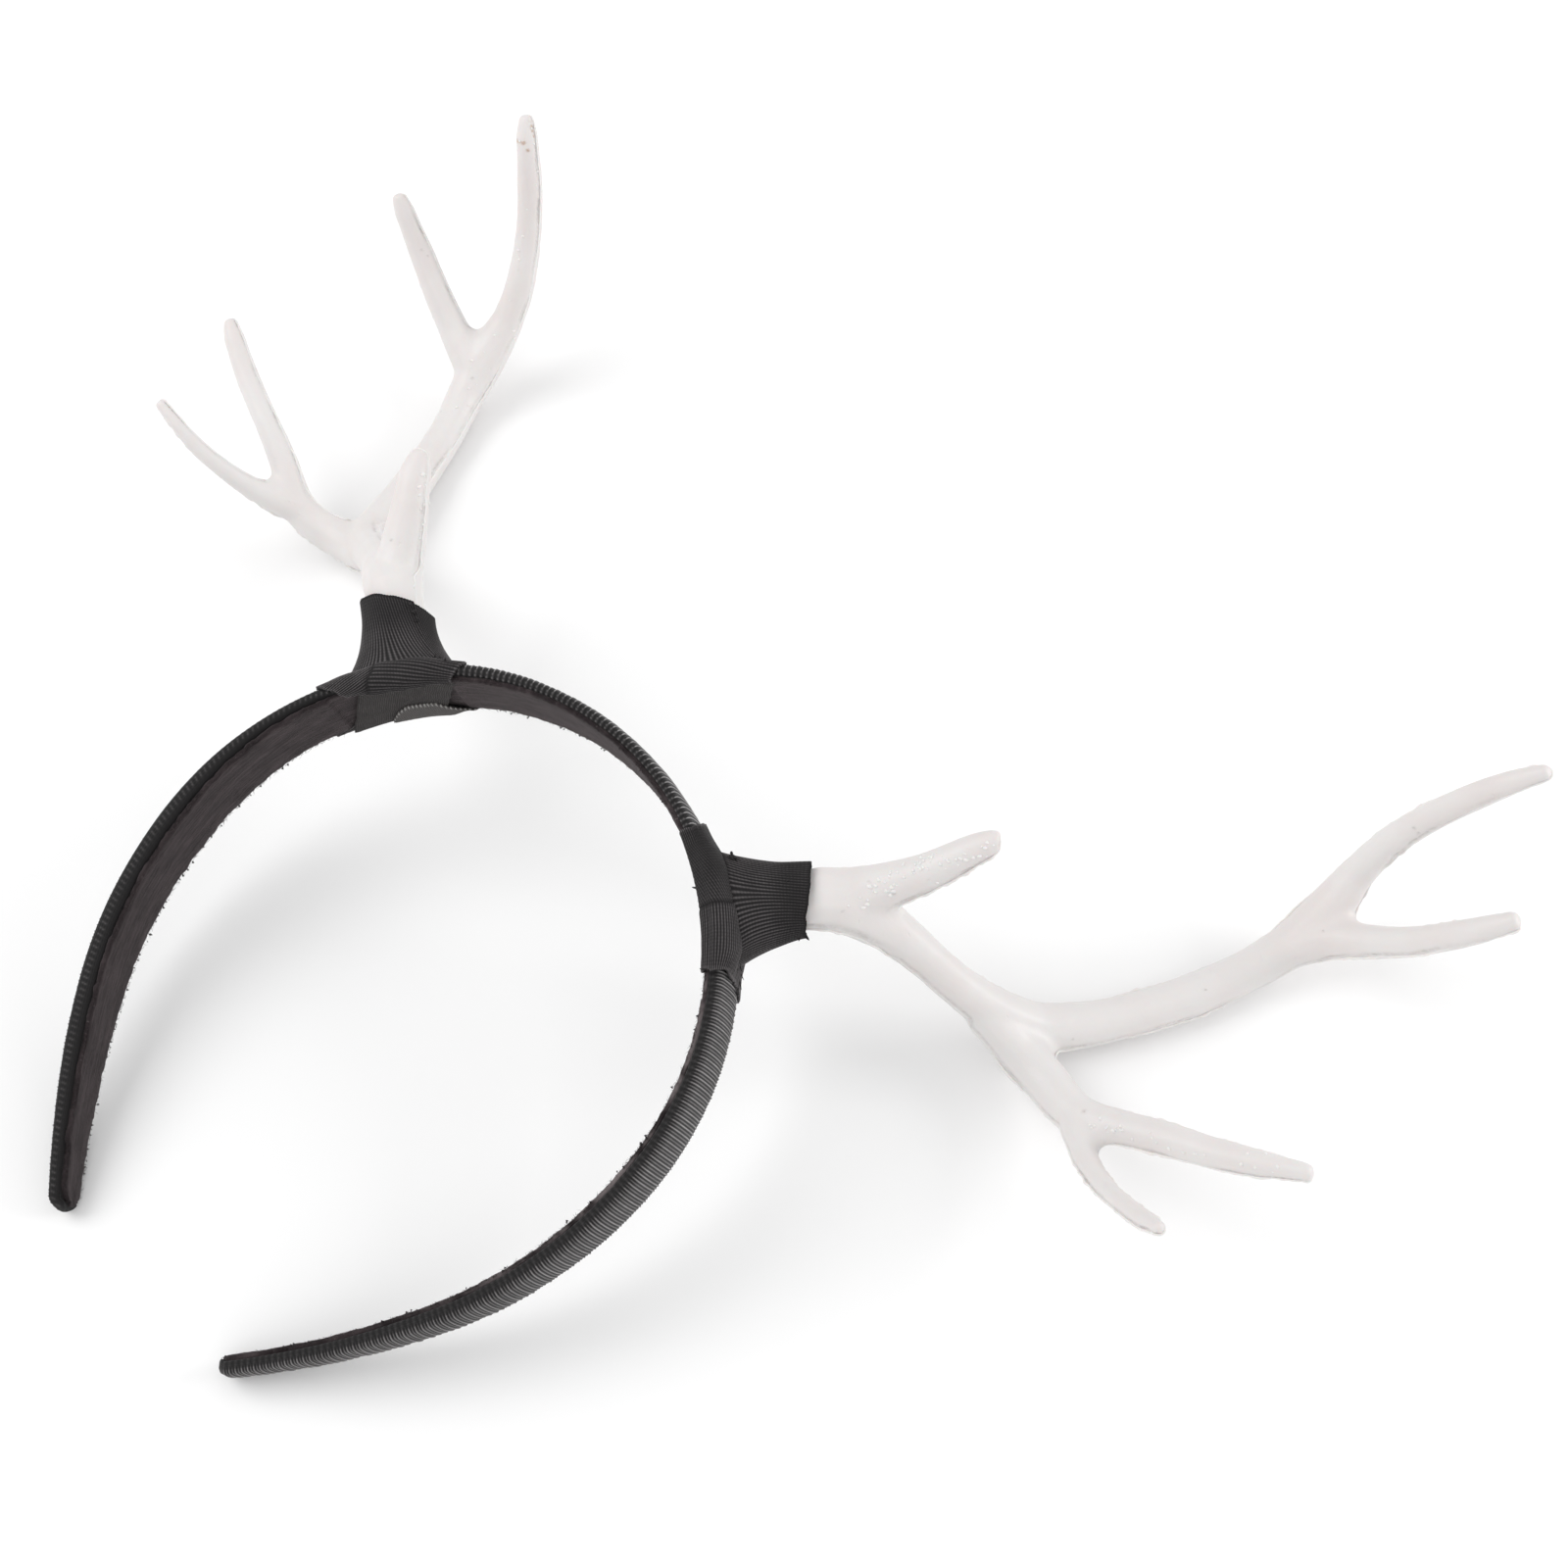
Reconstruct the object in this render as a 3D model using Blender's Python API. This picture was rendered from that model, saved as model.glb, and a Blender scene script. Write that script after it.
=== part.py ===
"""Antler headband: a ribbon-covered hoop with two cast antlers, lying on its back.

Everything is modelled as the headband is worn: X to the wearer's left antler, Y to the
back of the head, Z to the crown.  The rest pose then lays the hoop on its back: it stands on
the two antlers' rear curves and on the tips of the hoop.
"""
import math
from collections import namedtuple

import bmesh
import bpy
from mathutils import Matrix, Vector

MM = 0.001

# the hoop: its inner curve is three tangent arcs on each side of the crown
CROWN_RADIUS = 64.4 * MM
CROWN_SWEEP = math.radians(89.0)
SIDE_RADIUS = 88.5 * MM
SIDE_SWEEP = math.radians(31.0)
TAIL_RADIUS = 187.0 * MM
TAIL_SWEEP = math.radians(14.5)
HOOP_STATIONS = 64

# the hoop's section: flat inside, straight edges, domed outside
BAND_WIDTH = 19.2 * MM
BAND_TIP_WIDTH = 6.8 * MM
BAND_TAPER = 1.9
BAND_EDGE = 2.35 * MM
BAND_TIP_EDGE = 1.75 * MM
BAND_DOME = 1.0 * MM

# the lining, pressed thin where ribbon is wound tightly over it
LINING_THICKNESS = 1.0 * MM
LINING_PRESSED = 0.45 * MM
LINING_INSET = 0.9 * MM
LINING_SHORT = 1.6 * MM
CLOTH = 0.8 * MM
GAP = 0.3 * MM

# the ribbon wound over the hoop under each antler, and the pieces tucked inside it
SADDLE_LENGTH = 31.5 * MM
SADDLE_LIP = 2.2 * MM
PATCH_LENGTH = 23.0 * MM
PATCH_SKEW = 4.0 * MM
STRIP_LENGTH = 20.0 * MM
STRIP_WIDTH = 4.6 * MM

# the ribbon wound around each antler's foot
SLEEVE_HEIGHT = 16.4 * MM
SLEEVE_RADIUS = 7.9 * MM
SLEEVE_SIDES = 28

# the antlers
ANTLER_LENGTH = 170.0 * MM
BEAM_RADIUS = 5.0 * MM
ROOT_RADIUS = 6.5 * MM
ANTLER_SIDES = 12

BandRow = namedtuple("BandRow", "across edge dome")
BAND_ROWS = [
    BandRow(0.94, 0.00, 0.00),
    BandRow(1.00, 0.14, 0.00),
    BandRow(1.00, 0.62, 0.00),
    BandRow(0.94, 0.88, 0.06),
    BandRow(0.80, 1.00, 0.36),
    BandRow(0.55, 1.00, 0.72),
    BandRow(0.28, 1.00, 0.93),
    BandRow(0.00, 1.00, 1.00),
]

# height above the hoop as a share of SLEEVE_HEIGHT, girths as shares of SLEEVE_RADIUS
SleeveRow = namedtuple("SleeveRow", "height along across")
SLEEVE_ROWS = [
    SleeveRow(-0.22, 1.68, 1.30),
    SleeveRow(0.00, 1.48, 1.22),
    SleeveRow(0.10, 1.31, 1.15),
    SleeveRow(0.26, 1.18, 1.08),
    SleeveRow(0.55, 1.07, 1.03),
    SleeveRow(1.00, 1.00, 1.00),
]

# mount: arc length from the crown to the antler's foot.  centre, cuts and skews place the
# ribbon: how far its centre lies from the mount, and how far each cut runs on at the front.
Side = namedtuple("Side", "name sign mount centre crown_skew tail_skew height top_skew")
RIGHT = Side("right", 1.0, 42.7 * MM, -0.5 * MM, 3.2 * MM, 0.6 * MM, 0.97, -0.03)
LEFT = Side("left", -1.0, 52.8 * MM, 2.0 * MM, -3.3 * MM, -1.6 * MM, 1.03, 0.16)

# places are shares of ANTLER_LENGTH from the foot, girths are shares of BEAM_RADIUS
Station = namedtuple("Station", "out rise back girth")
RIGHT_TINES = {
    "beam": [
        Station(0.070, 0.058, 0.006, 1.32),
        Station(0.096, 0.083, 0.014, 1.42),
        Station(0.156, 0.104, 0.071, 1.08),
        Station(0.217, 0.110, 0.124, 0.90),
        Station(0.278, 0.118, 0.188, 1.00),
        Station(0.338, 0.142, 0.256, 1.18),
        Station(0.376, 0.178, 0.280, 1.10),
        Station(0.425, 0.245, 0.308, 1.00),
        Station(0.467, 0.320, 0.336, 1.03),
        Station(0.501, 0.395, 0.356, 0.99),
        Station(0.526, 0.461, 0.361, 1.06),
        Station(0.538, 0.523, 0.350, 1.14),
        Station(0.540, 0.586, 0.318, 0.84),
        Station(0.551, 0.633, 0.276, 0.74),
        Station(0.572, 0.672, 0.228, 0.67),
        Station(0.603, 0.710, 0.171, 0.64),
        Station(0.634, 0.739, 0.118, 0.54),
        Station(0.659, 0.761, 0.088, 0.32),
    ],
    "brow": [
        Station(0.100, 0.092, 0.020, 1.24),
        Station(0.124, 0.120, 0.018, 1.14),
        Station(0.145, 0.147, 0.008, 0.98),
        Station(0.167, 0.176, -0.004, 0.86),
        Station(0.193, 0.216, -0.024, 0.74),
        Station(0.209, 0.240, -0.035, 0.52),
        Station(0.215, 0.252, -0.040, 0.32),
    ],
    "back_beam": [
        Station(0.290, 0.112, 0.200, 0.92),
        Station(0.350, 0.108, 0.240, 1.08),
        Station(0.410, 0.096, 0.238, 1.03),
        Station(0.467, 0.084, 0.214, 0.98),
        Station(0.515, 0.102, 0.191, 0.80),
        Station(0.568, 0.123, 0.165, 0.76),
        Station(0.629, 0.144, 0.143, 0.68),
        Station(0.680, 0.166, 0.124, 0.57),
        Station(0.727, 0.189, 0.109, 0.33),
    ],
    "upper_tine": [
        Station(0.520, 0.446, 0.358, 0.88),
        Station(0.560, 0.498, 0.346, 0.98),
        Station(0.606, 0.522, 0.318, 0.82),
        Station(0.649, 0.542, 0.276, 0.71),
        Station(0.678, 0.561, 0.243, 0.66),
        Station(0.713, 0.586, 0.194, 0.60),
        Station(0.739, 0.612, 0.165, 0.36),
    ],
    "lower_tine": [
        Station(0.452, 0.090, 0.220, 0.84),
        Station(0.510, 0.044, 0.173, 0.58),
        Station(0.554, 0.027, 0.137, 0.48),
        Station(0.584, 0.022, 0.104, 0.45),
        Station(0.613, 0.020, 0.076, 0.42),
        Station(0.637, 0.021, 0.047, 0.27),
    ],
}
LEFT_TINES = {
    "beam": [
        Station(0.086, 0.068, 0.006, 1.32),
        Station(0.119, 0.089, 0.014, 1.40),
        Station(0.178, 0.106, 0.071, 1.16),
        Station(0.245, 0.120, 0.141, 1.06),
        Station(0.312, 0.135, 0.212, 1.14),
        Station(0.352, 0.156, 0.256, 1.18),
        Station(0.374, 0.204, 0.284, 1.12),
        Station(0.402, 0.269, 0.316, 1.04),
        Station(0.442, 0.367, 0.350, 0.96),
        Station(0.472, 0.440, 0.361, 1.02),
        Station(0.487, 0.505, 0.350, 1.18),
        Station(0.484, 0.576, 0.318, 0.88),
        Station(0.488, 0.630, 0.276, 0.80),
        Station(0.504, 0.691, 0.216, 0.70),
        Station(0.522, 0.736, 0.154, 0.68),
        Station(0.537, 0.766, 0.107, 0.55),
        Station(0.547, 0.783, 0.088, 0.33),
    ],
    "brow": [
        Station(0.106, 0.084, 0.020, 1.26),
        Station(0.122, 0.106, 0.012, 1.18),
        Station(0.138, 0.138, 0.001, 1.06),
        Station(0.161, 0.187, -0.022, 0.88),
        Station(0.180, 0.222, -0.034, 0.70),
        Station(0.189, 0.246, -0.041, 0.36),
    ],
    "back_beam": [
        Station(0.290, 0.126, 0.190, 1.00),
        Station(0.340, 0.126, 0.238, 1.10),
        Station(0.392, 0.118, 0.243, 0.98),
        Station(0.437, 0.112, 0.228, 0.92),
        Station(0.470, 0.120, 0.213, 0.90),
        Station(0.508, 0.149, 0.191, 0.76),
        Station(0.566, 0.180, 0.164, 0.66),
        Station(0.626, 0.210, 0.143, 0.63),
        Station(0.678, 0.242, 0.122, 0.54),
        Station(0.700, 0.260, 0.109, 0.30),
    ],
    "upper_tine": [
        Station(0.486, 0.484, 0.352, 1.08),
        Station(0.546, 0.510, 0.320, 0.86),
        Station(0.586, 0.531, 0.286, 0.78),
        Station(0.634, 0.560, 0.240, 0.69),
        Station(0.668, 0.582, 0.186, 0.54),
        Station(0.680, 0.591, 0.165, 0.33),
    ],
    "lower_tine": [
        Station(0.452, 0.114, 0.218, 0.86),
        Station(0.503, 0.088, 0.168, 0.60),
        Station(0.539, 0.078, 0.125, 0.50),
        Station(0.571, 0.076, 0.094, 0.45),
        Station(0.600, 0.080, 0.067, 0.38),
        Station(0.635, 0.087, 0.047, 0.28),
    ],
}

HALF_LENGTH = CROWN_RADIUS * CROWN_SWEEP + SIDE_RADIUS * SIDE_SWEEP + TAIL_RADIUS * TAIL_SWEEP
BAND_OFFSET = LINING_THICKNESS + GAP
PRESSED_LEVEL = LINING_THICKNESS - LINING_PRESSED


def hoop_frame(run):
    """Point on the hoop's inner curve, its outward normal and its direction away from the crown."""
    side = -1.0 if run < 0.0 else 1.0
    left = abs(run)
    point = Vector((0.0, 0.0, 0.0))
    turn = 0.0
    arcs = ((CROWN_RADIUS, CROWN_SWEEP), (SIDE_RADIUS, SIDE_SWEEP), (TAIL_RADIUS, TAIL_SWEEP))
    for number, (radius, sweep) in enumerate(arcs):
        length = radius * sweep
        last = number == len(arcs) - 1
        part = left if last else min(left, length)
        angle = part / radius
        point.x += radius * (math.sin(turn + angle) - math.sin(turn))
        point.z += radius * (math.cos(turn + angle) - math.cos(turn))
        turn += angle
        left -= part
        if left <= 0.0 and not last:
            break
    point.z += CROWN_RADIUS
    normal = Vector((side * math.sin(turn), 0.0, math.cos(turn)))
    away = Vector((side * math.cos(turn), 0.0, -math.sin(turn)))
    return Vector((side * point.x, 0.0, point.z)), normal, away


def on_hoop(run, across, height):
    point, normal, away = hoop_frame(run)
    return point + normal * height + Vector((0.0, across, 0.0))


def half_width(run, end):
    """Half the hoop's width, tapering from the crown and rounded off over the last few mm."""
    share = min(abs(run) / HALF_LENGTH, 1.0)
    width = BAND_WIDTH + (BAND_TIP_WIDTH - BAND_WIDTH) * share ** BAND_TAPER
    rounding = BAND_TIP_WIDTH * 0.5
    left = end - abs(run)
    if left < rounding:
        turn = 1.0 - max(left, 0.0) / rounding
        width *= max(math.sqrt(1.0 - turn * turn), 0.42)
    return width * 0.5


def edge_height(run):
    share = min(abs(run) / HALF_LENGTH, 1.0)
    return BAND_EDGE + (BAND_TIP_EDGE - BAND_EDGE) * share


def dome_height(run):
    return BAND_DOME * half_width(run, HALF_LENGTH) * 2.0 / BAND_WIDTH


def hoop_runs(end):
    """Arc lengths of the sections: even steps, then closer ones around each rounded tip."""
    rounding = BAND_TIP_WIDTH * 0.5
    inner = end - rounding
    runs = [-inner + 2.0 * inner * step / (HOOP_STATIONS - 1) for step in range(HOOP_STATIONS)]
    tips = [inner + rounding * share for share in (0.35, 0.65, 0.86, 1.0)]
    return [-run for run in reversed(tips)] + runs + tips


def band_section(run):
    half = half_width(run, HALF_LENGTH)
    edge = edge_height(run)
    dome = dome_height(run)
    rows = [(row.across, row.edge * edge + row.dome * dome) for row in BAND_ROWS]
    right = [(across * half, BAND_OFFSET + height) for across, height in rows]
    left = [(-across, height) for across, height in reversed(right[:-1])]
    return right + left


def wrap_section(run):
    """The path a ribbon takes around hoop and lining, from one inner lip over the top to the other."""
    half = half_width(run, HALF_LENGTH)
    edge = edge_height(run)
    dome = dome_height(run)
    corner = LINING_INSET * 0.7
    low = PRESSED_LEVEL
    right = [(half - SADDLE_LIP, low), (half - corner, low), (half, low + corner)]
    for row in BAND_ROWS[2:]:
        right.append((row.across * half, BAND_OFFSET + row.edge * edge + row.dome * dome))
    left = [(-across, height) for across, height in reversed(right[:-1])]
    return right + left


def offset_path(path, distance):
    """Moves an open path that runs anticlockwise outward by a distance, with mitred corners."""
    moved = []
    for number, (x, y) in enumerate(path):
        before = path[max(number - 1, 0)]
        after = path[min(number + 1, len(path) - 1)]
        normals = []
        for start, stop in ((before, (x, y)), ((x, y), after)):
            dx, dy = stop[0] - start[0], stop[1] - start[1]
            length = math.hypot(dx, dy)
            if length > 1e-9:
                normals.append((dy / length, -dx / length))
        nx = sum(normal[0] for normal in normals) / len(normals)
        ny = sum(normal[1] for normal in normals) / len(normals)
        square = nx * nx + ny * ny
        moved.append((x + distance * nx / square, y + distance * ny / square))
    return moved


def finish(name, mesh_maker, colour, roughness, metallic=0.0, smooth=35.0):
    mesh = bpy.data.meshes.new(name)
    mesh_maker.normal_update()
    bmesh.ops.recalc_face_normals(mesh_maker, faces=mesh_maker.faces)
    mesh_maker.to_mesh(mesh)
    mesh_maker.free()
    mesh.shade_smooth()
    mesh.set_sharp_from_angle(angle=math.radians(smooth))
    thing = bpy.data.objects.new(name, mesh)
    bpy.context.scene.collection.objects.link(thing)
    material = bpy.data.materials.new(name)
    material.use_nodes = True
    shader = material.node_tree.nodes["Principled BSDF"]
    shader.inputs["Base Color"].default_value = (*colour, 1.0)
    shader.inputs["Roughness"].default_value = roughness
    shader.inputs["Metallic"].default_value = metallic
    mesh.materials.append(material)
    return thing


def loft(rings):
    """A closed solid through rings of points, each end capped by its own flat ring."""
    maker = bmesh.new()
    loops = [[maker.verts.new(point) for point in ring] for ring in rings]
    for low, high in zip(loops, loops[1:]):
        for number in range(len(low)):
            following = (number + 1) % len(low)
            maker.faces.new((low[number], low[following], high[following], high[number]))
    maker.faces.new(loops[0])
    maker.faces.new(loops[-1])
    return maker


def shell(outer, inner, around=False):
    """A closed wall between two grids of points, open along its rows or running right round."""
    maker = bmesh.new()
    skins = [[[maker.verts.new(point) for point in row] for row in grid] for grid in (outer, inner)]
    rows, columns = len(outer), len(outer[0])
    steps = [(column, (column + 1) % columns) for column in range(columns if around else columns - 1)]
    for skin in skins:
        for row in range(rows - 1):
            for here, there in steps:
                maker.faces.new((skin[row][here], skin[row][there], skin[row + 1][there], skin[row + 1][here]))
    over, under = skins
    for row in (0, rows - 1):
        for here, there in steps:
            maker.faces.new((over[row][here], over[row][there], under[row][there], under[row][here]))
    if not around:
        for column in (0, columns - 1):
            for row in range(rows - 1):
                maker.faces.new((over[row][column], over[row + 1][column],
                                 under[row + 1][column], under[row][column]))
    return maker


def make_band():
    rings = []
    for run in hoop_runs(HALF_LENGTH):
        rings.append([on_hoop(run, across, height) for across, height in band_section(run)])
    return finish("band", loft(rings), (0.030, 0.028, 0.029), 0.62)


def saddle_runs(side, front_share):
    """Start and end of the wound ribbon for a place across the hoop, front_share 1 at the front."""
    middle = side.mount + side.centre
    start = middle - SADDLE_LENGTH * 0.5 + side.crown_skew * front_share
    stop = middle + SADDLE_LENGTH * 0.5 + side.tail_skew * front_share
    return start, stop


def pressed_runs():
    """The stretches where the lining is pressed thin: under each wound ribbon and a little past it."""
    stretches = []
    for side in (RIGHT, LEFT):
        ends = [saddle_runs(side, share) for share in (-1.0, 1.0)]
        low = min(start for start, stop in ends) - GAP * 3.0
        high = max(stop for start, stop in ends) + GAP * 3.0
        stretches.append(sorted((side.sign * low, side.sign * high)))
    return stretches


def make_lining():
    end = HALF_LENGTH - LINING_SHORT
    slope = LINING_THICKNESS * 2.0
    runs = set(hoop_runs(end))
    for low, high in pressed_runs():
        runs.update((low - slope, low, high, high + slope))
    over, under = [], []
    for run in sorted(runs):
        half = half_width(run, end) - LINING_INSET
        pressed = any(low <= run <= high for low, high in pressed_runs())
        level = PRESSED_LEVEL if pressed else 0.0
        shares = (-1.0, 0.0, 1.0)
        over.append([on_hoop(run, share * half, LINING_THICKNESS) for share in shares])
        under.append([on_hoop(run, share * half, level) for share in shares])
    return finish("lining", shell(over, under), (0.050, 0.038, 0.039), 0.95)


def make_saddle(side):
    over, under = [], []
    steps = 8
    for step in range(steps + 1):
        mid_run = side.mount + side.centre + SADDLE_LENGTH * (step / steps - 0.5)
        path = wrap_section(mid_run)
        half = half_width(mid_run, HALF_LENGTH)
        rows = []
        for distance in (GAP + CLOTH, GAP):
            points = []
            for (across, height), (base, level) in zip(offset_path(path, distance), path):
                start, stop = saddle_runs(side, -base / half)
                run = start + (stop - start) * step / steps
                points.append(on_hoop(side.sign * run, across, height))
            rows.append(points)
        over.append(rows[0])
        under.append(rows[1])
    return finish("saddle_" + side.name, shell(over, under), (0.032, 0.030, 0.031), 0.7)


def make_patch(side, name, near, far, length, skew, shift):
    """A flat scrap of ribbon glued over the lining, slanted from front to back."""
    over, under = [], []
    columns = 4
    rows = 5
    for row in range(rows + 1):
        top, bottom = [], []
        for column in range(columns + 1):
            across = near + (far - near) * column / columns
            middle = side.mount + shift + skew * across / (BAND_WIDTH * 0.5)
            run = side.sign * (middle + length * (row / rows - 0.5))
            top.append(on_hoop(run, across, PRESSED_LEVEL - GAP))
            bottom.append(on_hoop(run, across, PRESSED_LEVEL - GAP - CLOTH))
        over.append(top)
        under.append(bottom)
    return finish(name, shell(over, under), (0.040, 0.036, 0.037), 0.85)


def foot_place(side):
    """The antler's foot: the middle of the wound ribbon's outer face, on the mount."""
    run = side.mount
    top = BAND_OFFSET + edge_height(run) + dome_height(run) + GAP + CLOTH
    return on_hoop(side.sign * run, 0.0, top)


def tine_point(side, station):
    place = Vector((side.sign * station.out, station.back, station.rise)) * ANTLER_LENGTH
    return foot_place(side) + place


def sleeve_axis(side, tines):
    """The stem's direction at the foot, and the sleeve's two cross directions."""
    axis = (tine_point(side, tines["beam"][0]) - foot_place(side)).normalized()
    across = Vector((0.0, 1.0, 0.0))
    across = (across - axis * across.dot(axis)).normalized()
    along = across.cross(axis).normalized()
    if along.z < 0.0:
        along = -along
    return axis, along, across


def make_cutter(side):
    """A block of the wound hoop's outer form, grown by the gap, which trims sleeve and root."""
    rings = []
    steps = 16
    reach = SADDLE_LENGTH * 1.3
    for step in range(steps + 1):
        run = side.mount + side.centre + reach * (step / steps - 0.5)
        path = offset_path(wrap_section(run), GAP + CLOTH + GAP)
        rings.append([on_hoop(side.sign * run, across, height) for across, height in path])
    cutter = finish("cut_" + side.name, loft(rings), (0.5, 0.5, 0.5), 0.5)
    cutter.hide_render = True
    cutter.display_type = "WIRE"
    return cutter


def add_boolean(thing, other, operation):
    change = thing.modifiers.new(operation.lower() + "_" + other.name, "BOOLEAN")
    change.operation = operation
    change.solver = "EXACT"
    change.object = other


def make_sleeve(side, tines, cutter):
    foot = foot_place(side)
    axis, along, across = sleeve_axis(side, tines)
    over, under = [], []
    for row in SLEEVE_ROWS:
        outer, inner = [], []
        for number in range(SLEEVE_SIDES):
            angle = 2.0 * math.pi * number / SLEEVE_SIDES
            tilt = side.top_skew * math.cos(angle) * max(row.height, 0.0)
            height = SLEEVE_HEIGHT * (row.height * side.height - tilt)
            for wall, ring in ((0.0, outer), (CLOTH, inner)):
                a = SLEEVE_RADIUS * row.along - wall
                b = SLEEVE_RADIUS * row.across - wall
                place = along * (a * math.cos(angle)) + across * (b * math.sin(angle))
                ring.append(foot + axis * height + place)
        over.append(outer)
        under.append(inner)
    sleeve = finish("sleeve_" + side.name, shell(over, under, around=True), (0.028, 0.026, 0.027), 0.75)
    add_boolean(sleeve, cutter, "DIFFERENCE")
    return sleeve


def smooth_line(points, girths, cuts):
    """Centripetal spline through the stations, with the girths carried along it."""
    ends = [points[0] * 2.0 - points[1]] + points + [points[-1] * 2.0 - points[-2]]
    sizes = [girths[0]] + girths + [girths[-1]]
    line, radii = [], []
    for number in range(1, len(ends) - 2):
        a, b, c, d = ends[number - 1:number + 3]
        ta = 0.0
        tb = ta + (b - a).length ** 0.5
        tc = tb + (c - b).length ** 0.5
        td = tc + (d - c).length ** 0.5
        for cut in range(cuts):
            share = cut / cuts
            t = tb + (tc - tb) * share
            ab = a * ((tb - t) / (tb - ta)) + b * ((t - ta) / (tb - ta))
            bc = b * ((tc - t) / (tc - tb)) + c * ((t - tb) / (tc - tb))
            cd = c * ((td - t) / (td - tc)) + d * ((t - tc) / (td - tc))
            left = ab * ((tc - t) / (tc - ta)) + bc * ((t - ta) / (tc - ta))
            right = bc * ((td - t) / (td - tb)) + cd * ((t - tb) / (td - tb))
            line.append(left * ((tc - t) / (tc - tb)) + right * ((t - tb) / (tc - tb)))
            before, here, there, after = sizes[number - 1:number + 3]
            bend = 0.5 * (2.0 * here + (there - before) * share
                          + (2.0 * before - 5.0 * here + 4.0 * there - after) * share ** 2
                          + (3.0 * here - before - 3.0 * there + after) * share ** 3)
            radii.append(bend)
    line.append(points[-1])
    radii.append(girths[-1])
    return line, radii


def tube(points, radii, sides):
    """Rings square to the line, carried along it without twist, with a small domed end."""
    tangents = []
    for number in range(len(points)):
        before = points[max(number - 1, 0)]
        after = points[min(number + 1, len(points) - 1)]
        tangents.append((after - before).normalized())
    normal = Vector((0.0, 1.0, 0.0))
    normal = (normal - tangents[0] * normal.dot(tangents[0])).normalized()
    rings = []
    for number, (point, radius) in enumerate(zip(points, radii)):
        tangent = tangents[number]
        if number:
            normal.rotate(tangents[number - 1].rotation_difference(tangent))
            normal = (normal - tangent * normal.dot(tangent)).normalized()
        other = tangent.cross(normal)
        ring = []
        for step in range(sides):
            angle = 2.0 * math.pi * step / sides
            ring.append(point + normal * (radius * math.cos(angle)) + other * (radius * math.sin(angle)))
        rings.append(ring)
    return rings


def tine_rings(side, stations, root):
    points = [tine_point(side, station) for station in stations]
    girths = [station.girth * BEAM_RADIUS for station in stations]
    if root:
        foot = foot_place(side)
        axis, along, across = sleeve_axis(side, root)
        low = [foot + axis * (SLEEVE_HEIGHT * share) for share in (-0.3, 0.35, 0.75)]
        points = low + points
        girths = [ROOT_RADIUS] * 4 + girths[1:]
    line, radii = smooth_line(points, girths, 2)
    return tube(line, radii, ANTLER_SIDES)


def make_antler(side, tines, cutter):
    antler = finish("antler_" + side.name, loft(tine_rings(side, tines["beam"], tines)),
                    (0.83, 0.79, 0.77), 0.42, smooth=50.0)
    for name in ("brow", "back_beam", "upper_tine", "lower_tine"):
        branch = finish(side.name + "_" + name, loft(tine_rings(side, tines[name], None)),
                        (0.83, 0.79, 0.77), 0.42, smooth=50.0)
        branch.hide_render = True
        branch.display_type = "WIRE"
        add_boolean(antler, branch, "UNION")
    add_boolean(antler, cutter, "DIFFERENCE")
    return antler


def world_points(thing):
    shape = thing.evaluated_get(bpy.context.evaluated_depsgraph_get()).to_mesh()
    return [vertex.co.copy() for vertex in shape.vertices]


def rest_matrix(hoop, antlers):
    """The turn that lays the hoop on its back: both antlers and the hoop's tips touch the floor."""
    clouds = [world_points(hoop)] + [world_points(antler) for antler in antlers]
    turn = Matrix.Rotation(math.radians(-75.0), 3, "X")
    for attempt in range(12):
        lows = []
        for cloud in clouds:
            moved = [turn @ point for point in cloud]
            lows.append(min(moved, key=lambda point: point.z))
        tip, first, second = lows
        middle = (first + second) * 0.5
        pitch = math.atan2(middle.z - tip.z, middle.y - tip.y)
        roll = math.atan2(first.z - second.z, first.x - second.x)
        turn = Matrix.Rotation(roll, 3, "Y") @ Matrix.Rotation(-pitch, 3, "X") @ turn
    moved = [turn @ point for cloud in clouds for point in cloud]
    lows = [min(point[axis] for point in moved) for axis in range(3)]
    highs = [max(point[axis] for point in moved) for axis in range(3)]
    shift = Vector((-(lows[0] + highs[0]) * 0.5, -(lows[1] + highs[1]) * 0.5, -lows[2]))
    return Matrix.Translation(shift) @ turn.to_4x4()


for old in list(bpy.data.objects):
    bpy.data.objects.remove(old, do_unlink=True)

pieces = [make_band(), make_lining()]
antlers = []
for side, tines in ((RIGHT, RIGHT_TINES), (LEFT, LEFT_TINES)):
    cutter = make_cutter(side)
    pieces.append(make_saddle(side))
    pieces.append(make_sleeve(side, tines, cutter))
    antler = make_antler(side, tines, cutter)
    antlers.append(antler)
    pieces.append(antler)

patch_half = half_width(LEFT.mount, HALF_LENGTH) - SADDLE_LIP - GAP
pieces.append(make_patch(LEFT, "patch_left", -patch_half, patch_half - STRIP_WIDTH - GAP,
                         PATCH_LENGTH, PATCH_SKEW, 0.0))
pieces.append(make_patch(LEFT, "strip_left", patch_half - STRIP_WIDTH, patch_half,
                         STRIP_LENGTH, 0.0, -3.0 * MM))
pieces.append(make_patch(RIGHT, "patch_right", -patch_half, patch_half, PATCH_LENGTH, PATCH_SKEW, 0.0))

rest = bpy.data.objects.new("rest_pose", None)
bpy.context.scene.collection.objects.link(rest)
bpy.context.view_layer.update()
rest.matrix_world = rest_matrix(pieces[0], antlers)
for thing in list(bpy.data.objects):
    if thing is not rest:
        thing.parent = rest
bpy.context.view_layer.update()
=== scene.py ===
import math
import random

import bpy
import numpy as np
from mathutils import Matrix, Vector, noise
from mathutils.bvhtree import BVHTree


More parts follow.
